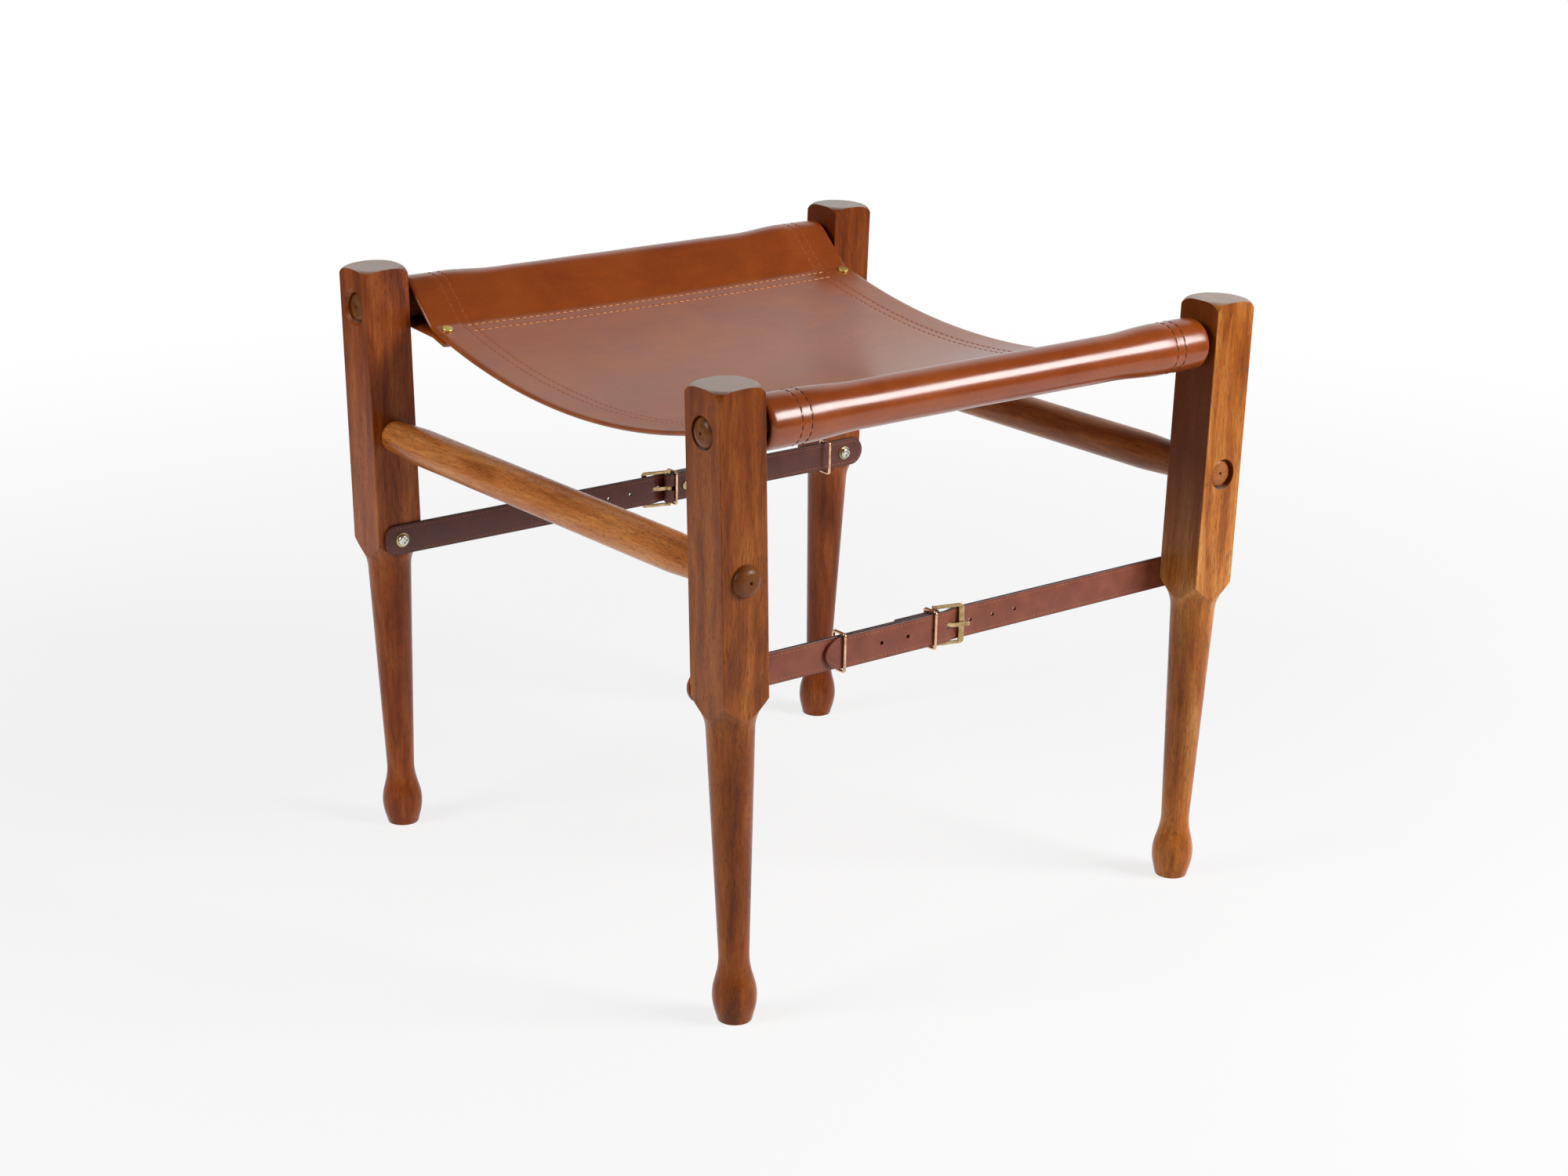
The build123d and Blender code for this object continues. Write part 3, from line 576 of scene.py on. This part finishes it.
def half_section(place, sheet):
    """Grain and flesh points (Y, Z) from the middle of the seat to the flap's end."""
    droop = 1 - (place / half_seat) ** 2
    middle = rail_height - seat_drop - seat_droop * droop
    rise = rail_height - knee_drop - knee_droop * droop - middle
    radius = (knee**2 + rise**2) / (2 * rise)
    hub = np.array([0.0, middle + radius])
    knee_slope = math.asin(knee / radius)
    flap_slope = math.asin((knee - flap_length) / radius)
    roll = np.array([half_depth, rail_height])
    outer = rail_wrap + sheet
    bend_hub = below(hub, radius - knee_bend, knee_slope)
    upper = tangent_slope(bend_hub, roll, knee_bend, outer)
    low = radius + 2 * sheet
    lower = tangent_slope(below(hub, low, knee_slope), roll, 0, -outer)
    sides = []
    for seat_r, bend_r, roll_r, flap_r in (
        (radius, knee_bend, outer, low),
        (radius + sheet, knee_bend + sheet, rail_wrap, radius + sheet + flap_gap),
    ):
        side = [below(hub, seat_r, math.asin(y / radius)) for y in seat_places]
        side += [below(bend_hub, bend_r, s) for s in np.linspace(knee_slope, upper, 8)]
        side += straight(side[-1], below(roll, roll_r, upper + math.pi), 6)
        side += [below(roll, roll_r, s) for s in np.linspace(upper + math.pi, lower, 48)]
        corner = below(hub, flap_r, knee_slope)
        side += straight(side[-1], corner, 12)
        side += [below(hub, flap_r, s) for s in np.linspace(knee_slope, flap_slope, flap_points)]
        sides.append(np.array(side))
    return sides


grain_side = half_section(0, leather)[0]

# %% [markdown]
# The strip is this section at many stations along the rails. They lie close
# together at the stitched hems, where the hide is drawn in along the two rows,
# and at the folded edge, which is round. The thickness eases from double at
# the hem to single well inside it, which leaves a gentle swelling on the roll.

# %% Stations along the rails
hem_fold = half_seat - fold_round
stations = np.concatenate([
    np.linspace(0, 140, 19), np.arange(142, 166, 1.2), np.arange(166.2, 178.4, 0.6),
    np.linspace(179, hem_fold, 8),
    hem_fold + fold_round * np.sin(np.radians([12, 24, 36, 48, 60, 75, 90])),
])
stations = np.unique(np.concatenate([stations, hem_rows]).round(3))
stations = np.concatenate([-stations[:0:-1], stations])


def smooth_step(value, start, end):
    """Rises gently from 0 at the start to 1 at the end."""
    share = np.clip((value - start) / (end - start), 0, 1)
    return share * share * (3 - 2 * share)


def sling_grids():
    """Grain and flesh grids of points in mm: stations by places along the strip."""
    grain, flesh = [], []
    for x in stations:
        sheet = leather * (1 + smooth_step(abs(x), single_end, hem_inner))
        sides = half_section(x, sheet)
        whole = [np.concatenate([s[:0:-1] * (-1, 1), s]) for s in sides]
        if abs(x) > hem_fold:
            turn = math.sqrt(max(0, 1 - ((abs(x) - hem_fold) / fold_round) ** 2))
            centre = (whole[0] + whole[1]) / 2
            whole = [centre + (w - centre) * turn for w in whole]
        grain.append(np.insert(whole[0], 0, x, axis=1))
        flesh.append(np.insert(whole[1], 0, x, axis=1))
    return np.array(grain), np.array(flesh)


grain_grid, flesh_grid = sling_grids()
print("sling grid", grain_grid.shape)

# %% [markdown]
# Thread pulled tight sinks into hide. So the grain side is pressed in along
# each row of stitches, and a little over the whole width between the two hem
# rows, which gives the roll its waist near each end. A very slow unevenness,
# under a quarter of a millimetre, keeps the long highlight from looking
# machined.

# %% Press in the stitch rows
waist_depth, waist_width = 0.2, 7.0
hem_groove, hem_groove_width = 0.16, 0.7
seam_groove, seam_groove_width = 0.2, 0.8
unevenness, uneven_size = 0.22, 45.0
edge_ease = 2.4


def grid_normals(grid):
    """Unit normals of a grid of points, away from the flesh side."""
    along = np.gradient(grid, axis=1)
    across = np.gradient(grid, axis=0)
    normal = np.cross(along, across)
    return normal / np.maximum(np.linalg.norm(normal, axis=2, keepdims=True), 1e-9)


normals = grid_normals(grain_grid)
inwards = flesh_grid - grain_grid
facing = np.sum(normals * inwards, axis=2).sum()
if facing > 0:
    normals = -normals
strip_x = np.abs(grain_grid[:, :, 0])
strip_y = np.abs(grain_grid[:, :, 1])
depth = waist_depth * np.exp(-(((strip_x - sum(hem_rows) / 2) / waist_width) ** 2))
for row in hem_rows:
    depth += hem_groove * np.exp(-(((strip_x - row) / hem_groove_width) ** 2))
half_count = len(seat_places)
flat = np.zeros(grain_grid.shape[1], bool)
centre_index = grain_grid.shape[1] // 2
flat[centre_index - half_count + 1:centre_index + half_count] = True
for row in seam_rows:
    groove = seam_groove * np.exp(-(((strip_y - row) / seam_groove_width) ** 2))
    depth += groove * (strip_x < seam_end + 1) * flat[None, :]
uneven = np.array([[noise.noise(Vector(p) / uneven_size) for p in line] for line in grain_grid])
depth += unevenness * uneven * (strip_x < hem_fold)
depth *= smooth_step(half_seat - strip_x, 0.0, edge_ease)
grain_grid = grain_grid - normals * depth[:, :, None]
print("stitch rows pressed in, at most", round(float(depth.max()), 2), "mm")

# %% Join the two sides into one closed strip
def new_piece(name, mesh, finish):
    """Puts a mesh into the scene as a piece of the frame."""
    piece = bpy.data.objects.new(name, mesh)
    bpy.context.scene.collection.objects.link(piece)
    mesh.materials.clear()
    mesh.materials.append(finish)
    mesh.shade_smooth()
    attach(piece, "frame")
    return piece


def mend_faces(mesh, merge=0.0):
    """Turns the faces of a closed mesh outwards, and joins points this close."""
    build = bmesh.new()
    build.from_mesh(mesh)
    if merge:
        bmesh.ops.remove_doubles(build, verts=build.verts, dist=merge)
    bmesh.ops.recalc_face_normals(build, faces=build.faces)
    build.to_mesh(mesh)
    build.free()


def strip_mesh(name, grain, flesh):
    """Closed mesh of a strip from its two grids, in metres."""
    rows, cols = grain.shape[:2]
    points = np.concatenate([grain.reshape(-1, 3), flesh.reshape(-1, 3)]) * MM
    top = np.arange(rows * cols).reshape(rows, cols)
    under = top + rows * cols
    faces = []
    for grid, flip in ((top, False), (under, True)):
        quads = np.stack([grid[:-1, :-1], grid[1:, :-1], grid[1:, 1:], grid[:-1, 1:]], axis=-1)
        quads = quads.reshape(-1, 4)
        faces += (quads[:, ::-1] if flip else quads).tolist()
    rims = (
        (top[0], under[0]), (under[-1], top[-1]),
        (under[:, 0], top[:, 0]), (top[:, -1], under[:, -1]),
    )
    for line, other in rims:
        faces += np.stack([line[:-1], line[1:], other[1:], other[:-1]], axis=-1).tolist()
    mesh = bpy.data.meshes.new(name)
    mesh.from_pydata(points.tolist(), [], faces)
    mend_faces(mesh, merge=1e-6)
    return mesh


strip = strip_mesh("sling", grain_grid, flesh_grid)
sling = new_piece("sling", strip, sling_hide)
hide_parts("seat_leather")
print("sling", len(sling.data.polygons), "faces")

# %% [markdown]
# ## Stitching
# A lockstitch shows as a row of short dashes, each a piece of waxed thread that
# dips into the hide at both ends. Every stitch is a small spindle, laid along
# its row and partly sunk. All stitches of one thread are one mesh, which keeps
# the scene light.

# %% Thread helpers
look_ahead = 0.6
stitch_sides = 6


def walk(line, pitch):
    """Places and directions at an even pitch along a line of points."""
    steps = np.linalg.norm(np.diff(line, axis=0), axis=1)
    total = np.concatenate([[0], np.cumsum(steps)])
    count = max(1, int(total[-1] / pitch))
    marks = (np.arange(count) + 0.5) * total[-1] / count

    def at(places):
        return np.stack([np.interp(places, total, line[:, k]) for k in range(3)], axis=1)

    way = at(np.minimum(marks + look_ahead, total[-1])) - at(np.maximum(marks - look_ahead, 0))
    return at(marks), way / np.linalg.norm(way, axis=1, keepdims=True)


def stitches(spots, ways, outs, length, radius):
    """Points and faces of spindles at the spots, along their ways, standing out."""
    ring = np.radians(np.arange(stitch_sides) * 360.0 / stitch_sides)
    count = len(ring)
    stops = np.array([-0.5, -0.36, 0.0, 0.36, 0.5])
    fat = np.array([0.35, 0.85, 1.0, 0.85, 0.35])
    sink = np.array([-1.3, -0.35, 0.1, -0.35, -1.3])
    points, faces = [], []
    for spot, way, out in zip(spots, ways, outs):
        out = out - way * np.dot(out, way)
        out = out / np.linalg.norm(out)
        side = np.cross(way, out)
        base = len(points)
        for stop, size, low in zip(stops, fat, sink):
            middle = spot + way * stop * length + out * low * radius
            for angle in ring:
                around = side * math.cos(angle) + out * math.sin(angle)
                points.append(middle + radius * size * around)
        for k in range(len(stops) - 1):
            for j in range(count):
                a, b = base + count * k + j, base + count * k + (j + 1) % count
                faces.append((a, b, b + count, a + count))
        faces.append(tuple(base + j for j in range(count - 1, -1, -1)))
        faces.append(tuple(base + count * (len(stops) - 1) + j for j in range(count)))
    return points, faces


def thread_piece(name, rows, finish, length, radius):
    """One mesh of all the stitches in the given rows of (spots, ways, outs)."""
    points, faces = [], []
    for spots, ways, outs in rows:
        more, more_faces = stitches(spots, ways, outs, length, radius)
        faces += [tuple(index + len(points) for index in face) for face in more_faces]
        points += more
    mesh = bpy.data.meshes.new(name)
    mesh.from_pydata((np.array(points) * MM).tolist(), [], faces)
    print(name, sum(len(r[0]) for r in rows), "stitches")
    return new_piece(name, mesh, finish)


# %% Thread finish
fibre_size = 1.2
roll_thread_start, roll_thread_full = 0.205, 0.222


def waxed_thread(name, seat, roll):
    """Waxed thread, darker round the rolls than on the seat."""
    material, tree = new_finish(name)
    place = add_node(tree, "ShaderNodeTexCoord").outputs["Object"]
    axes = add_node(tree, "ShaderNodeSeparateXYZ", {0: place})
    across = add_node(tree, "ShaderNodeMath", {0: axes.outputs["Y"]}, operation="ABSOLUTE")
    # Darker round the rolls: the colour changes with the distance from the seat's middle line
    rubbed = add_node(tree, "ShaderNodeMapRange", {
        "Value": across.outputs[0], "From Min": roll_thread_start, "From Max": roll_thread_full,
    }, interpolation_type="SMOOTHSTEP")
    fibres = add_node(tree, "ShaderNodeTexNoise", {
        "Vector": place, "Scale": 1000 / fibre_size, "Detail": 2.0})
    colour = add_node(tree, "ShaderNodeMix", {
        "Factor": rubbed.outputs[0], 6: tint(seat), 7: tint(roll)}, data_type="RGBA")
    level = add_node(tree, "ShaderNodeMapRange", {
        "Value": fibres.outputs["Fac"], "From Min": 0.3, "From Max": 0.7,
        "To Min": 0.8, "To Max": 1.15})
    colour = add_node(tree, "ShaderNodeVectorMath", {
        0: colour.outputs[2], "Scale": level.outputs[0]}, operation="SCALE")
    surface = add_node(tree, "ShaderNodeBsdfPrincipled", {
        "Base Color": colour.outputs[0], "Roughness": 0.7})
    add_node(tree, "ShaderNodeOutputMaterial", {"Surface": surface.outputs[0]})
    return material


hem_thread = waxed_thread("waxed hem thread", "#b0603a", "#4a2412")
seam_thread = waxed_thread("waxed seam thread", "#e09a66", "#e09a66")
print("threads ready")

# %% [markdown]
# The hem rows follow the strip from flap to flap, round both rolls. The seam
# rows run across the seat beside each knee, through seat and flap, so they
# show below as well.

# %% Stitch the sling
sling_pitch = 6.1
hem_lift, hem_stitch, hem_thick = 0.1, 5.0, 0.36
seam_lift, seam_stitch, seam_thick = 0.3, 4.7, 0.5


def strip_line(row_x):
    """Points and outward normals of the grain side at a station."""
    index = int(np.argmin(np.abs(stations - row_x)))
    return grain_grid[index], normals[index]


def laid_row(line, outs, pitch, lift):
    """A row of stitches along a line of the strip, lifted off it a little."""
    spots, ways = walk(line, pitch)
    near = [int(np.argmin(np.sum((line - spot) ** 2, axis=1))) for spot in spots]
    turned = outs[near]
    return spots + turned * lift, ways, turned


hem_lines = []
for row in hem_rows:
    for side in (-1, 1):
        hem_lines.append(laid_row(*strip_line(side * row), sling_pitch, hem_lift))
thread_piece(
    "sling_hem_stitches", hem_lines, hem_thread, hem_stitch, hem_thick,
)

seam_lines = []
inside = np.abs(stations) <= seam_end
for row in seam_rows:
    seat_index = centre_index + int(np.argmin(np.abs(seat_places - row)))
    flap = grain_grid[len(stations) // 2, -flap_points:, 1]
    flap_index = grain_grid.shape[1] - flap_points + int(np.argmin(np.abs(flap - row)))
    for index in (seat_index, flap_index):
        for column in (index, grain_grid.shape[1] - 1 - index):
            line, outs = grain_grid[inside, column], normals[inside, column]
            seam_lines.append(laid_row(line, outs, sling_pitch, seam_lift))
thread_piece(
    "sling_seam_stitches", seam_lines, seam_thread, seam_stitch, seam_thick,
)

# %% [markdown]
# ## Bridle leather straps
# The straps are a thinner, harder leather, dyed dark red-brown, with burnished
# edges that are nearly black. Each is a buckle piece, folded round the heel bar
# of its buckle, and a billet with the holes. A strap is swept along its middle
# line with a section whose corners are rubbed round, and its ends narrow to
# half ellipses, the longest at the billet's point. The holes are punched later.

# %% Bridle leather
strap_height = 241.6
strap_half = 11.9
strap_clouds, strap_pebble = 18.0, 0.7
burnished, burnish_start, burnish_full = "#2f1510", 0.9, 0.2


def bridle_leather(name, dark, middle, light):
    """Dyed, waxed strap leather with dark burnished edges."""
    material, tree = new_finish(name)
    place = add_node(tree, "ShaderNodeTexCoord").outputs["Object"]
    axes = add_node(tree, "ShaderNodeSeparateXYZ", {0: place})
    height = add_node(tree, "ShaderNodeMath", {
        0: axes.outputs["Z"], 1: strap_height * MM}, operation="SUBTRACT")
    height = add_node(tree, "ShaderNodeMath", {0: height.outputs[0]}, operation="ABSOLUTE")
    edge = add_node(tree, "ShaderNodeMapRange", {
        "Value": height.outputs[0], "From Min": (strap_half - burnish_start) * MM,
        "From Max": (strap_half - burnish_full) * MM})
    clouds = add_node(tree, "ShaderNodeTexNoise", {
        "Vector": place, "Scale": 1000 / strap_clouds, "Detail": 4.0, "Roughness": 0.6})
    face = add_node(tree, "ShaderNodeValToRGB", {"Fac": clouds.outputs["Fac"]}, stops=[
        (0.3, tint(dark)), (0.5, tint(middle)), (0.7, tint(light))])
    colour = add_node(tree, "ShaderNodeMix", {
        "Factor": edge.outputs[0], 6: face.outputs[0], 7: tint(burnished)}, data_type="RGBA")
    gloss = add_node(tree, "ShaderNodeMapRange", {
        "Value": clouds.outputs["Fac"], "From Min": 0.3, "From Max": 0.7,
        "To Min": 0.36, "To Max": 0.46})
    pebble = add_node(tree, "ShaderNodeTexNoise", {
        "Vector": place, "Scale": 1000 / strap_pebble, "Detail": 2.0, "Roughness": 0.6})
    relief = add_node(tree, "ShaderNodeBump", {
        "Strength": 0.22, "Distance": 0.0001, "Height": pebble.outputs["Fac"]})
    surface = add_node(tree, "ShaderNodeBsdfPrincipled", {
        "Base Color": colour.outputs[2], "Roughness": gloss.outputs[0], "IOR": 1.5,
        "Normal": relief.outputs[0]})
    add_node(tree, "ShaderNodeOutputMaterial", {"Surface": surface.outputs[0]})
    return material


# The back strap's copy of the leather is darker than the front's: painted shade of its place at the
# far side, under the sling
strap_hides = {
    "front": bridle_leather("waxed bridle leather front", "#6e3320", "#7c3c25", "#87462d"),
    "back": bridle_leather("waxed bridle leather back in painted shade", "#4c1f13", "#582518", "#632d1e"),
}
print("bridle leather ready")

# %% Sizes of the straps, in mm
strap_thick = 2.5
layer_gap = 0.15
inner_face = 200.8
screw_place = 219.302
buckle_end, buckle_end_round = screw_place + 19.8, 11.0
billet_end, billet_end_round = screw_place + 14.7, 9.0
heel_radius = 4.0
fold_close, fold_flap = 8.5, 35.7
heel_bar = 1.4
# The fold comes down behind the heel bar: steps from the heel, and places inwards
fold_path = ((3.2, 6.2), (6.4, 4.3))
slot_step, slot_long, slot_wide = 10.9, 9.6, 3.8
fold_slot_half = 7.0
lift_long, tip_step, point_long = 12.5, 103.0, 16.0
hole_radius, hole_pitch = 1.5, 21.3
tip_hole_step, tip_hole_pitch, tip_hole_count = 50.0, 24.0, 3
stitch_inset, stitch_sink, strap_pitch = 2.8, 0.1, 3.5
strap_stitch, strap_stitch_thick = 2.6, 0.3
row_margin = 1.0
punch_reach = 14.0
strap_edge_round = 0.7
# Each strap's name, side, heel place, first hole's step from the heel, and holes
straps = (("front", -1, -21.0, 31.7, 3), ("back", 1, -33.0, 37.4, 2))


def strap_to_frame(points, side):
    """From a strap's own axes, along, inwards and up, to the stool's."""
    points = np.asarray(points, float)
    along, inward, up = points[..., 0], points[..., 1], points[..., 2]
    return np.stack([-side * along, side * (inner_face - inward), strap_height + up], axis=-1)


# %% Middle lines of the two strap pieces
end_turns = np.linspace(0.12, math.pi / 2, 9)


def arc_points(centre, radius, start, end, count):
    """Points on an arc, from one angle in degrees to another."""
    turns = np.radians(np.linspace(start, end, count))
    return [(centre[0] + radius * math.cos(t), centre[1] + radius * math.sin(t)) for t in turns]


def buckle_piece_line(heel):
    """From the screwed end to the buckle, round its heel bar and back to the flap's end."""
    middle = strap_thick / 2
    ends = [-buckle_end + buckle_end_round * (1 - math.cos(t)) for t in end_turns]
    line = [(x, middle) for x in ends]
    line += [(x, middle) for x in np.linspace(3 - screw_place, heel - 2, 30)]
    line += arc_points((heel, heel_radius), heel_radius - middle, -90, 90, 11)
    back = 2 * heel_radius - middle
    line += [(heel - heel_bar, back)] + [(heel - step, inward) for step, inward in fold_path]
    line += [(x, 3 * middle) for x in np.linspace(heel - fold_close, heel - fold_flap, 8)]
    return np.array(line)


def billet_line(heel):
    """From the screwed end, over the fold, to the point."""
    middle, out = strap_thick / 2, -strap_thick / 2 - layer_gap
    start = heel + slot_step + lift_long / 2
    ends = [billet_end - billet_end_round * (1 - math.cos(t)) for t in end_turns]
    line = [(x, middle) for x in ends]
    line += [(x, middle) for x in np.linspace(screw_place - 4, start + 3, 26)]
    for share in np.linspace(0, 1, 9):
        line.append((start - lift_long * share, middle + (out - middle) * smooth_step(share, 0, 1)))
    tip = heel - tip_step
    line += [(x, out) for x in np.linspace(start - lift_long - 3, tip + point_long, 20)]
    point_turns = np.linspace(0.16, math.pi / 2 - 0.1, 9)
    line += [(tip + point_long * (1 - math.sin(t)), out) for t in point_turns]
    return np.array(line)


def half_width_at(x, ends):
    """Half width at a place: each end (place, rounding) runs out in half an ellipse."""
    width = strap_half
    for end, rounding in ends:
        share = 1 - abs(x - end) / rounding
        if share > 0:
            width = strap_half * math.sqrt(max(0.0, 1 - share**2))
    return width


# %% Sweep a strap
def strap_frames(line):
    """Direction and face normal at each point of a middle line."""
    way = np.gradient(line, axis=0)
    way = way / np.linalg.norm(way, axis=1, keepdims=True)
    return way, np.stack([-way[:, 1], way[:, 0]], axis=1)


def strap_mesh(name, line, widths, side):
    """Closed strap with round edges, swept along its middle line."""
    half = strap_thick / 2
    corner = np.radians(np.arange(0, 91, 22.5))
    ring = []
    for sign_w, sign_t, order in ((1, 1, 1), (-1, 1, -1), (-1, -1, 1), (1, -1, -1)):
        for angle in corner[::order]:
            ring.append((
                sign_w * (strap_half - strap_edge_round * (1 - math.cos(angle))),
                sign_t * (half - strap_edge_round * (1 - math.sin(angle))),
            ))
    ring = np.array(ring)
    count = len(ring)
    normal = strap_frames(line)[1]
    points = []
    for spot, out, width in zip(line, normal, widths):
        share = width / strap_half
        for across, thick in ring:
            points.append((spot[0] + out[0] * thick, spot[1] + out[1] * thick, across * share))
    faces = []
    for k in range(len(line) - 1):
        for j in range(count):
            a, b = k * count + j, k * count + (j + 1) % count
            faces.append((a, b, b + count, a + count))
    faces.append(tuple(range(count)))
    faces.append(tuple(range(len(points) - 1, len(points) - 1 - count, -1)))
    mesh = bpy.data.meshes.new(name)
    mesh.from_pydata((strap_to_frame(points, side) * MM).tolist(), [], faces)
    mend_faces(mesh)
    return mesh


# %% [markdown]
# Holes are punched with a round tool and the slot with an oblong one, so the
# cutters here are the same shapes. The Boolean modifier takes them out of the
# strap, and its result becomes the strap's mesh.

# %% Punch the holes
def punch(strap, side, cuts):
    """Takes oblong holes (place, half length, radius) out of a strap."""
    points, faces = [], []
    for place, stretch, radius in cuts:
        base = len(points)
        turns = np.radians(np.arange(0, 360, 15.0) + 7.5)
        shift = [stretch if math.cos(t) > 0 else -stretch for t in turns]
        loop = [
            (place + s + radius * math.cos(t), radius * math.sin(t)) for s, t in zip(shift, turns)
        ]
        for depth_y in (-punch_reach, punch_reach):
            points += [(x, depth_y, z) for x, z in loop]
        count = len(loop)
        faces += [
            (base + j, base + (j + 1) % count, base + count + (j + 1) % count, base + count + j)
            for j in range(count)
        ]
        faces.append(tuple(base + j for j in range(count - 1, -1, -1)))
        faces.append(tuple(base + count + j for j in range(count)))
    mesh = bpy.data.meshes.new("punch")
    mesh.from_pydata((strap_to_frame(points, side) * MM).tolist(), [], faces)
    mend_faces(mesh)
    cutter = bpy.data.objects.new("punch", mesh)
    bpy.context.scene.collection.objects.link(cutter)
    modifier = strap.modifiers.new("holes", "BOOLEAN")
    modifier.operation = "DIFFERENCE"
    modifier.solver = "EXACT"
    modifier.object = cutter
    bpy.context.view_layer.update()
    depsgraph = bpy.context.evaluated_depsgraph_get()
    cut = bpy.data.meshes.new_from_object(strap.evaluated_get(depsgraph))
    strap.modifiers.clear()
    strap.data = cut
    bpy.data.objects.remove(cutter)
    build = bmesh.new()
    build.from_mesh(cut)
    for edge in build.edges:
        edge.smooth = len(edge.link_faces) == 2 and edge.calc_face_angle(0) < math.radians(50)
    build.to_mesh(cut)
    build.free()


# %% Make the four strap pieces and their stitches
def edge_rows(line, widths, side):
    """Stitch rows near both edges, on both faces, sunk so that the keepers pass."""
    normal = strap_frames(line)[1]
    rows = []
    keep = widths > stitch_inset + row_margin
    for face_side in (-1, 1):
        for edge_side in (-1, 1):
            lift = face_side * (strap_thick / 2 - stitch_sink)
            spots = np.stack([
                line[:, 0] + normal[:, 0] * lift, line[:, 1] + normal[:, 1] * lift,
                edge_side * (widths - stitch_inset),
            ], axis=1)
            outs = np.stack([normal[:, 0], normal[:, 1], np.zeros(len(line))], axis=1) * face_side
            spots, outs = spots[keep], outs[keep]
            marks, ways = walk(spots, strap_pitch)
            near = [int(np.argmin(np.sum((spots - mark) ** 2, axis=1))) for mark in marks]
            shifted = strap_to_frame(marks, side)
            turn_ways = strap_to_frame(marks + ways, side) - shifted
            turn_outs = strap_to_frame(marks + outs[near], side) - shifted
            rows.append((shifted, turn_ways, turn_outs))
    return rows


def strap_piece(name, line, ends, cuts, side, hide):
    """A punched strap piece, and its rows of stitches."""
    widths = np.array([half_width_at(x, ends) for x, y in line])
    piece = new_piece(name, strap_mesh(name, line, widths, side), hide)
    punch(piece, side, cuts)
    return piece, edge_rows(line, widths, side)


strap_rows = []
for name, side, heel, hole_step, hole_count in straps:
    hide = strap_hides[name]
    cuts = [(heel, fold_slot_half - slot_wide / 2, slot_wide / 2)]
    ends = [(-buckle_end, buckle_end_round)]
    piece, rows = strap_piece(
        f"{name}_buckle_leather", buckle_piece_line(heel), ends, cuts, side, hide)
    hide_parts(f"{name}_strap_buckle_piece")
    strap_rows += rows

    tip = heel - tip_step
    cuts = [(heel + slot_step, (slot_long - slot_wide) / 2, slot_wide / 2)]
    cuts += [(heel + hole_step + k * hole_pitch, 0.0, hole_radius) for k in range(hole_count)]
    cuts += [
        (tip + tip_hole_step + k * tip_hole_pitch, 0.0, hole_radius) for k in range(tip_hole_count)
    ]
    ends = [(billet_end, billet_end_round), (tip, point_long)]
    piece, rows = strap_piece(f"{name}_billet_leather", billet_line(heel), ends, cuts, side, hide)
    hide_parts(f"{name}_strap_billet")
    strap_rows += rows
    print(name, "strap, heel at", heel, "with", len(cuts), "cuts")

strap_thread = waxed_thread("waxed strap thread", "#b06a44", "#b06a44")
thread_piece(
    "strap_stitches", strap_rows, strap_thread, strap_stitch, strap_stitch_thick,
)
